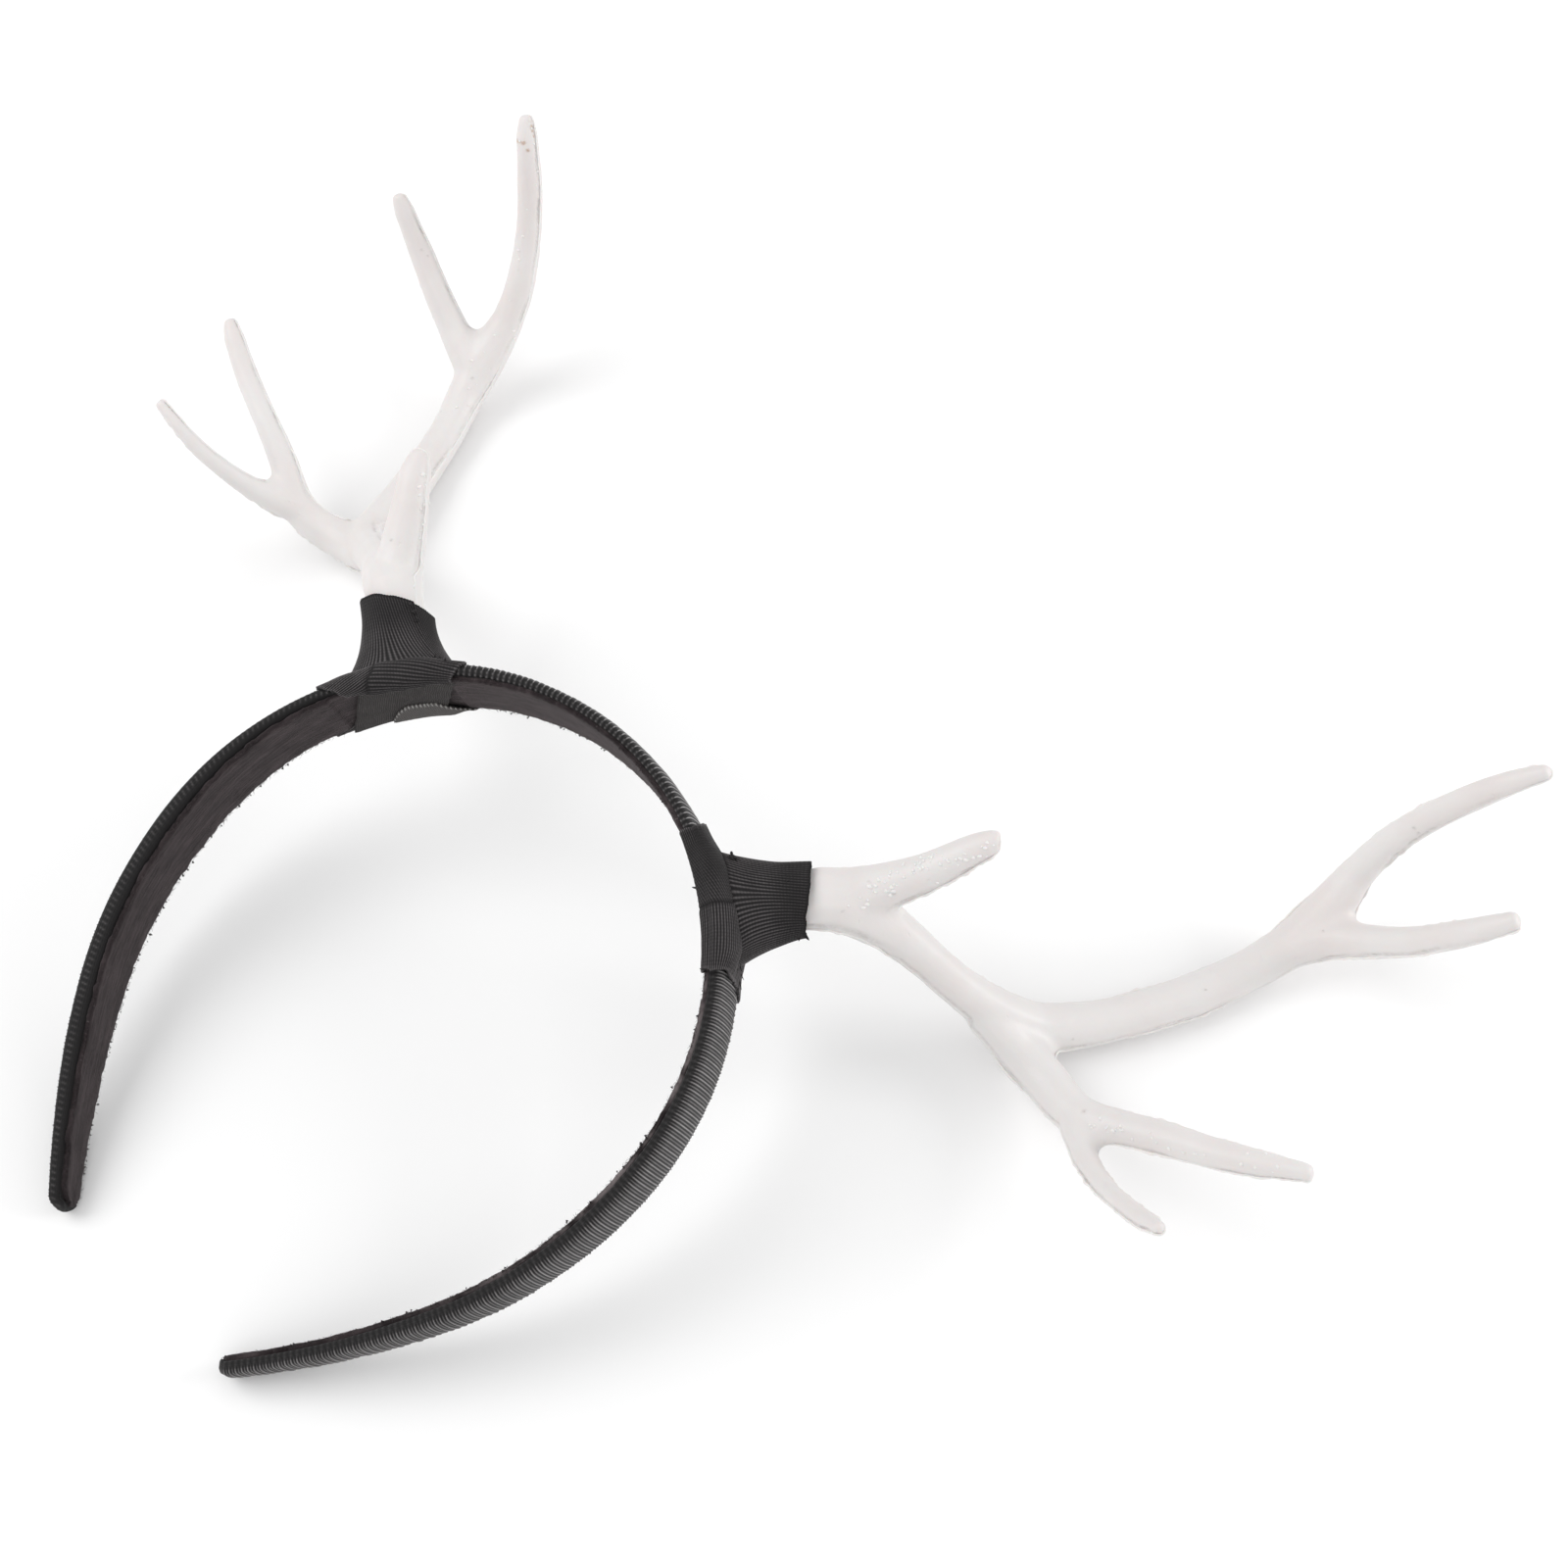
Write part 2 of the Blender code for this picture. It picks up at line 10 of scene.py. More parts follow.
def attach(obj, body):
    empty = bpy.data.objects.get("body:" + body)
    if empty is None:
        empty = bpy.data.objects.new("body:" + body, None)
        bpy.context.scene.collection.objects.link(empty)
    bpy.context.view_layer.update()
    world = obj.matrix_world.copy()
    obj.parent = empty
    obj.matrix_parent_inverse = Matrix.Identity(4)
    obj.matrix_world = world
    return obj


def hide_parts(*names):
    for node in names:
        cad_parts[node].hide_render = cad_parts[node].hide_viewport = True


# Antler headband: a ribbon-covered hoop with two cast antlers, lying on its back.
# Soft pieces are laid out in hoop terms (run along the hoop, across it, height above its inner
# curve, all in millimetres), and restTurn then lays the worn headband down.

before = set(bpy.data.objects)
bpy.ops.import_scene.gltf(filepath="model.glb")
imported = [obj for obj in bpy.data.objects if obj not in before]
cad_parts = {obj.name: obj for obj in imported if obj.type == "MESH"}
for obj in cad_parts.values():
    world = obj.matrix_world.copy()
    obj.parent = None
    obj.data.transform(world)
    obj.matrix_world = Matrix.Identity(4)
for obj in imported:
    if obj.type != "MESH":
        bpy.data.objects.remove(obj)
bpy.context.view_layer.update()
bpy.ops.object.select_all(action="DESELECT")
mm = 0.001

restTurn = (
    Matrix.Translation((0.383 * mm, -50.6 * mm, 27.944 * mm))
    @ Matrix.Rotation(math.radians(0.4772), 4, "Y")
    @ Matrix.Rotation(math.radians(-72.661), 4, "X")
)

cameraView = {
    "place": (173.72, -148.8, 397.31),
    "azimuth": 38.19,
    "down": 57.04,
    "roll": 4.09,
    "lens": 44.17,
    "sensor": 36.0,
    "picture": 1600.0,
}

hoop = {
    "arcs": [(64.4, 89.0), (88.5, 31.0), (187.0, 14.5)],  # radius, degrees, from the crown down
    "width": 19.2,
    "tipWidth": 7.8,
    "taper": 2.3,
    "edge": 2.45,
    "rightEdge": 2.8,
    "leftEdge": 3.3,
    "tipEdge": 2.3,
    "dome": 1.0,
    "crownThinner": 0.65,
    "thinMiddle": 4.0,
    "thinned": (14.0, 40.0),  # from the middle of the thin part, how far it is full and where it ends
    "edgeRises": (72.0, 112.0),
    "edgeSinks": (140.0, 192.0),
    "leftSink": 0.5,
    "leftLonger": 1.6,
    "liningThickness": 1.0,
    "liningPressed": 0.45,
    "liningInset": 0.9,
    "gap": 0.3,
    "cloth": 0.8,
}
hoop["half"] = sum(radius * math.radians(sweep) for radius, sweep in hoop["arcs"])
hoop["offset"] = hoop["liningThickness"] + hoop["gap"]

# ends and skews: where the wound ribbon starts and stops along the hoop, at its middle and towards
# the front; reach: how far the sleeve's foot spreads over it to the crown, tail, front and back
# shade: how much the saddle's ribs are darkened, a painted shade that is stronger on the left saddle
rightSide = {
    "name": "right", "sign": 1.0, "mount": 42.7, "stem": (0.070, 0.006, 0.058),
    "ends": (26.2, 60.1), "skews": (2.2, -1.2), "lipSkews": (0.0, 0.0),
    "reach": (9.8, 12.8, 7.8, 9.3), "flares": (3.0, 1.3, 3.2), "twist": -0.15,
    "height": 0.955, "topSkew": -0.03, "frontRim": 0.9, "lap": 1.2, "crease": 17.5, "shade": 0.9,
}
leftSide = {
    "name": "left", "sign": -1.0, "mount": 52.8, "stem": (0.086, 0.006, 0.068),
    "ends": (39.1, 70.5), "skews": (-2.6, -1.6), "lipSkews": (2.8, -5.2),
    "reach": (12.6, 11.6, 9.3, 9.3), "flares": (2.2, 3.0, 3.2), "twist": -0.34,
    "height": 1.03, "topSkew": 0.18, "frontRim": 0.0, "lap": 5.5, "crease": 19.0, "shade": 0.78,
}


# camera first: the marks further down are placed through it
def makeCamera():
    azimuth, down = math.radians(cameraView["azimuth"]), math.radians(cameraView["down"])
    look = Vector((-math.sin(azimuth) * math.cos(down), math.cos(azimuth) * math.cos(down), -math.sin(down)))
    bpy.ops.object.camera_add(location=Vector(cameraView["place"]) * mm)
    camera = bpy.context.object
    camera.name = "photoCamera"
    camera.rotation_mode = "QUATERNION"
    roll = Matrix.Rotation(math.radians(cameraView["roll"]), 3, "Z")
    turn = look.to_track_quat("-Z", "Y").to_matrix() @ roll
    camera.rotation_quaternion = turn.to_quaternion()
    camera.data.sensor_width = cameraView["sensor"]
    camera.data.lens = cameraView["lens"]
    camera.data.clip_start = 0.01
    bpy.context.scene.camera = camera
    return camera, turn


camera, cameraTurn = makeCamera()
cameraPlace = Vector(cameraView["place"]) * mm
pictureRight, pictureUp, towardsCamera = (np.array(cameraTurn.col[k]) for k in range(3))
print("camera set")


def throughPixel(x, y):
    # direction from the camera through a point of the 1600 x 1600 photo
    middle = cameraView["picture"] * 0.5
    reach = cameraView["lens"] / cameraView["sensor"] * cameraView["picture"]
    return (cameraTurn @ Vector((x - middle, middle - y, -reach))).normalized()


def readPoints(piece):
    points = np.zeros(len(piece.data.vertices) * 3)
    piece.data.vertices.foreach_get("co", points)
    return points.reshape(-1, 3)


def writePoints(piece, points):
    piece.data.vertices.foreach_set("co", points.astype(np.float32).ravel())
    piece.data.update()


def readNormals(piece):
    normals = np.zeros(len(piece.data.vertices) * 3)
    piece.data.vertex_normals.foreach_get("vector", normals)
    return normals.reshape(-1, 3)


def writeValues(piece, name, values):
    layer = piece.data.attributes.get(name) or piece.data.attributes.new(name, "FLOAT", "POINT")
    layer.data.foreach_set("value", values.astype(np.float32))


def writeUv(piece, along, across):
    # UVs in millimetres, so that a weave has its real pitch
    corners = np.zeros(len(piece.data.loops), np.int32)
    piece.data.loops.foreach_get("vertex_index", corners)
    layer = piece.data.uv_layers.active or piece.data.uv_layers.new(name="UVMap")
    layer.data.foreach_set("uv", np.stack([along[corners], across[corners]], 1).astype(np.float32).ravel())


def only(piece):
    bpy.ops.object.select_all(action="DESELECT")
    piece.select_set(True)
    bpy.context.view_layer.objects.active = piece


def modify(piece, kind, **settings):
    only(piece)
    change = piece.modifiers.new(kind.lower(), kind)
    for key, value in settings.items():
        setattr(change, key, value)
    bpy.ops.object.modifier_apply(modifier=change.name)


def smoothStep(values, low, high):
    share = np.clip((values - low) / (high - low), 0.0, 1.0)
    return share * share * (3.0 - 2.0 * share)


def ripples(points, size, seed):
    # smooth noise from -1 to 1 at each point, size in the points' own unit
    shift = Vector((seed * 17.3, seed * 5.1, seed * 9.7))
    return np.array([noise.noise(Vector(point) / size + shift) for point in points])


def clothRipples(along, over, size, seed):
    # the same for places on a cloth's own surface
    return ripples(np.stack([along, over, along * 0.0], 1), size, seed)


def hoopFrame(run):
    side = np.where(run < 0.0, -1.0, 1.0)
    left = np.abs(run)
    x, z, turn = (np.zeros_like(left) for part in range(3))
    for number, (radius, sweep) in enumerate(hoop["arcs"]):
        whole = radius * math.radians(sweep)
        part = left if number == len(hoop["arcs"]) - 1 else np.minimum(left, whole)
        angle = part / radius
        x += radius * (np.sin(turn + angle) - np.sin(turn))
        z += radius * (np.cos(turn + angle) - np.cos(turn))
        turn = turn + angle
        left = left - part
    return side * x, z + hoop["arcs"][0][0], side * np.sin(turn), np.cos(turn)


def onHoop(run, across, height):
    x, z, outX, outZ = hoopFrame(run)
    return np.stack([x + outX * height, across, z + outZ * height], 1)


def layDown(points):
    # worn millimetres to the part's own metres
    turn = np.array(restTurn)
    return points * mm @ turn[:3, :3].T + turn[:3, 3]


def halfWidth(run, end, least=0.18):
    share = np.clip(np.abs(run) / hoop["half"], 0.0, 1.0)
    width = hoop["width"] + (hoop["tipWidth"] - hoop["width"]) * share ** hoop["taper"]
    rounding = hoop["tipWidth"] * 0.5
    turn = 1.0 - np.clip((end - np.abs(run)) / rounding, 0.0, 1.0)
    return width * 0.5 * np.maximum(np.sqrt(1.0 - turn ** 2), least)


def edgeHeight(run):
    limb = np.where(run < 0.0, hoop["leftEdge"], hoop["rightEdge"])
    height = hoop["edge"] + (limb - hoop["edge"]) * smoothStep(np.abs(run), *hoop["edgeRises"])
    fromThin = smoothStep(np.abs(run - hoop["thinMiddle"]), *hoop["thinned"])
    height = height - hoop["crownThinner"] * (1.0 - fromThin)
    return height + (hoop["tipEdge"] - height) * smoothStep(np.abs(run), *hoop["edgeSinks"])


def sink(run):
    # how far in the left limb lies
    return hoop["leftSink"] * smoothStep(-run, 74.0, 112.0) * (1.0 - smoothStep(-run, 165.0, 195.0))


def lengthened(run):
    # the left limb is a little longer than the right one
    return run - hoop["leftLonger"] * smoothStep(-run, 75.0, 195.0)


def domeHeight(run):
    return hoop["dome"] * halfWidth(run, hoop["half"] + 9.0) * 2.0 / hoop["width"]


def lengths(line):
    # how far along a line each of its points lies
    return np.concatenate([[0.0], np.cumsum(np.linalg.norm(np.diff(line, axis=0), axis=1))])


def mirrored(half):
    # a whole section from its first half, the rest of it with the width reversed
    rest = half[:-1][::-1].copy()
    rest[:, 0] *= -1.0
    return np.concatenate([half, rest])


def cords(phase):
    # round cords side by side, one to each whole number
    return (0.5 - 0.5 * np.cos(2.0 * math.pi * phase)) ** 0.9


def resample(table, places):
    # a smooth line through the rows of a table, read at places given in its own length
    rows = np.array(table, float)
    size = np.array([hoop["width"] * 0.5, hoop["edge"], hoop["dome"]])
    along = lengths((rows * size)[:, :2])
    spots = np.array(places) * along[-1]
    return along[-1], np.stack([np.interp(spots, along, values) for values in rows.T], 1)


def addStrip(name, columns, rows):
    # a flat grid to be wrapped: returns it with each point's share along and across
    only(camera)
    bpy.ops.object.select_all(action="DESELECT")
    bpy.ops.mesh.primitive_grid_add(x_subdivisions=columns, y_subdivisions=rows, size=1.0)
    piece = bpy.context.object
    piece.name = piece.data.name = name
    points = readPoints(piece)
    return piece, points[:, 0] + 0.5, points[:, 1] + 0.5


def editWhole(piece, operator, **settings):
    # one edit-mode operator on all of a piece
    only(piece)
    bpy.ops.object.mode_set(mode="EDIT")
    bpy.ops.mesh.select_all(action="SELECT")
    operator(**settings)
    bpy.ops.object.mode_set(mode="OBJECT")


def turnOutward(piece):
    editWhole(piece, bpy.ops.mesh.normals_make_consistent, inside=False)
    bpy.ops.object.shade_smooth()


def closeUp(piece):
    # joins the seam of a strip wrapped right round, closes its ends and turns faces outwards
    editWhole(piece, bpy.ops.mesh.remove_doubles, threshold=0.000002)
    editWhole(piece, bpy.ops.mesh.fill_holes, sides=0)
    turnOutward(piece)


def addMesh(name, points, faces):
    mesh = bpy.data.meshes.new(name)
    mesh.from_pydata(points, [], faces)
    mesh.update()
    piece = bpy.data.objects.new(name, mesh)
    bpy.context.scene.collection.objects.link(piece)
    return piece


class Value:
    # a shader socket that takes part in sums as a number does
    def __init__(self, finish, socket):
        self.finish = finish
        self.socket = socket

    def sum(self, operation, *parts):
        return self.finish.node("ShaderNodeMath", {"operation": operation}, *parts)

    def __add__(self, other):
        return self.sum("ADD", self, other)

    def __sub__(self, other):
        return self.sum("SUBTRACT", self, other)

    def __mul__(self, other):
        return self.sum("MULTIPLY", self, other)

    def __pow__(self, other):
        return self.sum("POWER", self, other)

    def __rsub__(self, other):
        return self.sum("SUBTRACT", other, self)

    __radd__ = __add__
    __rmul__ = __mul__

    def wave(self):
        return self.sum("SINE", self)

    def between(self, low, high):
        # 0 at low to 1 at high, eased
        return self.finish.node(
            "ShaderNodeMapRange", {"interpolation_type": "SMOOTHSTEP"}, self, low, high, 0.0, 1.0)


class Finish:
    # a material and the one way that its nodes are added
    def __init__(self, name, **fixed):
        self.material = bpy.data.materials.new(name)
        self.material.use_nodes = True
        self.tree = self.material.node_tree
        self.shader = self.tree.nodes["Principled BSDF"]
        for key, value in fixed.items():
            self.shader.inputs[key.replace("_", " ")].default_value = value

    def node(self, kind, settings, *values, output=0):
        made = self.tree.nodes.new(kind)
        for key, value in settings.items():
            setattr(made, key, value)
        for number, value in enumerate(values):
            if isinstance(value, Value):
                self.tree.links.new(value.socket, made.inputs[number])
            elif value is not None:
                made.inputs[number].default_value = value
        return Value(self, made.outputs[output])

    def place(self, kind="Object"):
        return self.node("ShaderNodeTexCoord", {}, output=kind)

    def parts(self, vector):
        return [self.node("ShaderNodeSeparateXYZ", {}, vector, output=k) for k in range(3)]

    def stretched(self, vector, scale):
        return self.node("ShaderNodeVectorMath", {"operation": "MULTIPLY"}, vector, scale)

    def grain(self, vector, scale, detail=3.0, rough=0.55):
        return self.node("ShaderNodeTexNoise", {}, vector, None, scale, detail, rough)

    def attribute(self, name):
        return self.node("ShaderNodeAttribute", {"attribute_name": name}, output="Fac")

    def blend(self, share, first, second):
        # first and second are colours, as numbers or sockets
        made = self.tree.nodes.new("ShaderNodeMix")
        made.data_type = "RGBA"
        sockets = [s for s in made.inputs if s.enabled]
        for socket, value in zip(sockets, (share, first, second)):
            if isinstance(value, Value):
                self.tree.links.new(value.socket, socket)
            else:
                socket.default_value = (*value, 1.0) if isinstance(value, tuple) else value
        return Value(self, [s for s in made.outputs if s.enabled][0])

    def link(self, **values):
        for key, value in values.items():
            self.tree.links.new(value.socket, self.shader.inputs[key.replace("_", " ")])

    def bump(self, height, depth):
        # depth in metres of a height that runs from 0 to 1
        made = self.tree.nodes.new("ShaderNodeBump")
        made.inputs["Strength"].default_value = 1.0
        made.inputs["Distance"].default_value = depth
        self.tree.links.new(height.socket, made.inputs["Height"])
        self.link(Normal=Value(self, made.outputs[0]))


ribbonLook = {
    # valley and crest colours: painted shade down between the cords and painted sheen on their tops
    "paintedValleyShade": (0.0050, 0.0043, 0.0046),
    "crest": (0.085, 0.077, 0.079),
    # a lighter grey for painted sheen on the highest crests
    "worn": (0.30, 0.285, 0.285),
    # painted glint on the ribs of the band's outer face
    "paintedGlint": (0.50, 0.485, 0.485),
    "threadPitch": 0.42,
    "roughness": 0.55,
    "coat": 0.5,
}


def makeRibbonFinish():
    finish = Finish("blackGrosgrain", Sheen_Weight=0.08, Sheen_Roughness=0.4, Specular_IOR_Level=0.25,
                    Coat_Roughness=0.32)
    uv = finish.place("UV")
    across = finish.parts(uv)[1]
    crest = finish.attribute("crest")
    threads = (across * (2.0 * math.pi / ribbonLook["threadPitch"])).wave() * 0.5 + 0.5
    fibres = finish.grain(finish.stretched(uv, (1.0, 0.35, 1.0)), 5.5, 4.0)
    patches = finish.grain(finish.place(), 160.0, 3.0)
    # the crest attribute sets the colour: painted shade in the rib valleys and painted sheen on the cords,
    # with random tone from threads, fibres and patches
    shade = crest.between(0.1, 1.0) * (0.72 + 0.28 * threads) * (0.35 + 1.3 * fibres) * (0.5 + patches)
    colour = finish.blend(shade.between(0.0, 1.0), ribbonLook["paintedValleyShade"], ribbonLook["crest"])
    # painted sheen: a lighter grey in patches on the highest crests
    worn = crest.between(0.75, 1.0) * fibres.between(0.52, 0.74) * 0.5
    colour = finish.blend(worn, colour, ribbonLook["worn"])
    # painted glint: the band's outer face is painted a light grey where its ribs catch the light
    paintedGlint = finish.attribute("paintedGlint") * (0.55 + 0.7 * fibres) * (0.5 + patches)
    finish.link(Base_Color=finish.blend(paintedGlint * 0.85, colour, ribbonLook["paintedGlint"]))
    finish.link(Roughness=ribbonLook["roughness"] + 0.25 * fibres)
    finish.link(Coat_Weight=crest.between(0.55, 1.0) * ribbonLook["coat"])
    finish.bump(threads * 0.6 + fibres * 0.7, 0.00007)
    return finish.material


weaveLook = {
    "dark": (0.007, 0.006, 0.006),
    "light": (0.098, 0.088, 0.085),
    "pale": (0.15, 0.14, 0.135),
    "stitch": (0.36, 0.35, 0.34),
    "pitch": 1.05,
    "stitchPitch": 0.95,
}


def makeWeaveFinish():
    finish = Finish("fineWeave", Sheen_Weight=0.04, Sheen_Roughness=0.5, Specular_IOR_Level=0.25)
    uv = finish.place("UV")
    along, across = finish.parts(uv)[:2]
    turns = 2.0 * math.pi / weaveLook["pitch"]
    over = ((along + across) * turns).wave() * ((along - across) * turns).wave()
    fibres = finish.grain(uv, 3.6, 4.0)
    patches = finish.grain(uv, 0.35, 2.0)
    height = over * 0.5 + 0.5
    shade = height ** 1.4 * (0.3 + fibres) * (0.5 + patches)
    colour = finish.blend(shade, weaveLook["dark"], weaveLook["light"])
    colour = finish.blend(finish.attribute("pale") * (0.2 + 0.5 * height), colour, weaveLook["pale"])
    dots = (along * (2.0 * math.pi / weaveLook["stitchPitch"])).wave().between(0.0, 0.7)
    dots = finish.attribute("stitched") * dots
    finish.link(Base_Color=finish.blend(dots, colour, weaveLook["stitch"]))
    finish.link(Roughness=0.70 + 0.2 * fibres)
    finish.bump(height * 0.8 + fibres * 0.6, 0.00020)
    return finish.material


velvetLook = {
    "deep": (0.012, 0.0085, 0.0095),
    "pile": (0.046, 0.035, 0.037),
    # a lighter grey for painted sheen on the pile
    "paintedSheen": (0.23, 0.20, 0.202),
    "lint": (0.30, 0.27, 0.26),
}


def makeVelvetFinish():
    finish = Finish("liningVelvet", Sheen_Weight=0.22, Sheen_Roughness=0.45, Specular_IOR_Level=0.2)
    finish.shader.inputs["Sheen Tint"].default_value = (0.80, 0.72, 0.73, 1.0)
    uv = finish.place("UV")
    streaks = finish.grain(finish.stretched(uv, (0.13, 1.2, 1.0)), 1.0, 4.0, 0.6)
    pile = finish.grain(uv, 6.0, 3.0, 0.7)
    pressed = finish.grain(finish.stretched(uv, (0.4, 1.0, 1.0)), 0.30, 3.0)
    lint = finish.grain(uv, 2.6, 1.0).between(0.755, 0.80)
    share = streaks.between(0.32, 0.70) * 0.65 + pile * 0.30
    share = share * (0.35 + 1.3 * pressed.between(0.32, 0.68))
    colour = finish.blend(share, velvetLook["deep"], velvetLook["pile"])
    # painted sheen: a lighter pinkish grey on the pile of the right limb, where the light grazes it
    paintedSheen = finish.attribute("paintedSheen") * streaks.between(0.32, 0.62)
    colour = finish.blend(paintedSheen * 0.7, colour, velvetLook["paintedSheen"])
    finish.link(Base_Color=finish.blend(lint * 0.8, colour, velvetLook["lint"]))
    finish.link(Roughness=0.84 + 0.14 * pile)
    finish.bump(pile * 0.7 + streaks + pressed * 0.6, 0.00030)
    return finish.material


resinLook = {
    "body": (0.730, 0.706, 0.696),
    "warm": (0.700, 0.645, 0.630),
    # a near white for painted highlights along the parting line and on the blisters
    "thin": (0.86, 0.84, 0.825),
    # a grey for the painted shade in the groove beside the parting line
    "grooveAndPaintedShade": (0.34, 0.305, 0.29),
    "scuff": (0.40, 0.22, 0.11),
    "pit": (0.16, 0.12, 0.10),
}


def makeResinFinish():
    finish = Finish("castResin", Subsurface_Weight=0.10, Subsurface_Scale=0.0010, Specular_IOR_Level=0.5)
    place = finish.place()
    cloud = finish.grain(place, 45.0, 3.0)
    fine = finish.grain(place, 900.0, 3.0)
    speck = finish.grain(place, 380.0, 2.0).between(0.70, 0.76)
    colour = finish.blend(cloud.between(0.35, 0.75) * 0.7, resinLook["body"], resinLook["warm"])
    # painted highlight: the flash, the line it stands on and the blisters are painted near white
    colour = finish.blend(finish.attribute("flashAndPaintedLight") * 0.8, colour, resinLook["thin"])
    # painted shade: the groove beside the parting line is painted darker, broken by fine noise
    grooveAndPaintedShade = finish.attribute("grooveAndPaintedShade") * fine.between(0.2, 0.7) * 0.55
    colour = finish.blend(grooveAndPaintedShade, colour, resinLook["grooveAndPaintedShade"])
    colour = finish.blend(finish.attribute("scuff") * fine.between(0.3, 0.6), colour, resinLook["scuff"])
    finish.link(Base_Color=finish.blend(finish.attribute("pit"), colour, resinLook["pit"]))
    finish.link(Roughness=0.32 + 0.16 * cloud + 0.08 * fine)
    finish.bump(fine * 0.5 + cloud * 0.5 - speck * 0.5, 0.00012)
    return finish.material


ribbonFinish = makeRibbonFinish()
weaveFinish = makeWeaveFinish()
velvetFinish = makeVelvetFinish()
resinFinish = makeResinFinish()
print("materials made")


def dress(piece, material, slot, *nodes):
    points = readPoints(piece)
    points[:, 2] = np.maximum(points[:, 2], 0.0)
    writePoints(piece, points)
    print(piece.name, "triangles", sum(len(face.vertices) - 2 for face in piece.data.polygons))
    piece.data.materials.clear()
    piece.data.materials.append(material)
    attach(piece, "root")
    if nodes:
        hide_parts(*nodes)


bandPiece = {
    "ribPitch": 1.30,  # each rib is a pair of cords, and one of the two stands higher
    "ribHeight": 0.34,
    "stepsPerRib": 8,
    "crownRibs": 0.6,  # the ribs' height near the crown, as a share of the limbs'
    "parted": (46.0, 62.0),  # from where to where the ribs part into pairs, along each limb
    "hooked": (60.0, 74.0),  # from where to where the loops widen into hooks, down the left limb
    "quiet": (50.0, 62.0),  # from where to where the loops grow faint, down the right limb
    "loopHeight": 0.30,
    "rimHeight": 0.16,
    "tipRounding": 3.2,
    # half the section, from the middle of the inner face to the middle of the outer one:
    # share of the half width, of the edge's height and of the dome's height
    "section": [
        (0.00, 0.00, 0.00), (0.86, 0.00, 0.00), (0.95, 0.04, 0.00), (0.99, 0.16, 0.00), (1.00, 0.34, 0.00),
        (1.00, 0.58, 0.00), (0.985, 0.76, 0.00), (0.95, 0.90, 0.06), (0.89, 0.97, 0.20), (0.80, 1.00, 0.36),
        (0.67, 1.00, 0.56), (0.55, 1.00, 0.72), (0.41, 1.00, 0.84), (0.28, 1.00, 0.93), (0.14, 1.00, 0.98),
        (0.00, 1.00, 1.00),
    ],
    "innerSteps": [0.0, 0.20, 0.36],
    "edgeSteps": 12,
    "edgeEnds": (0.40, 0.655),
    "domeSteps": 6,
}


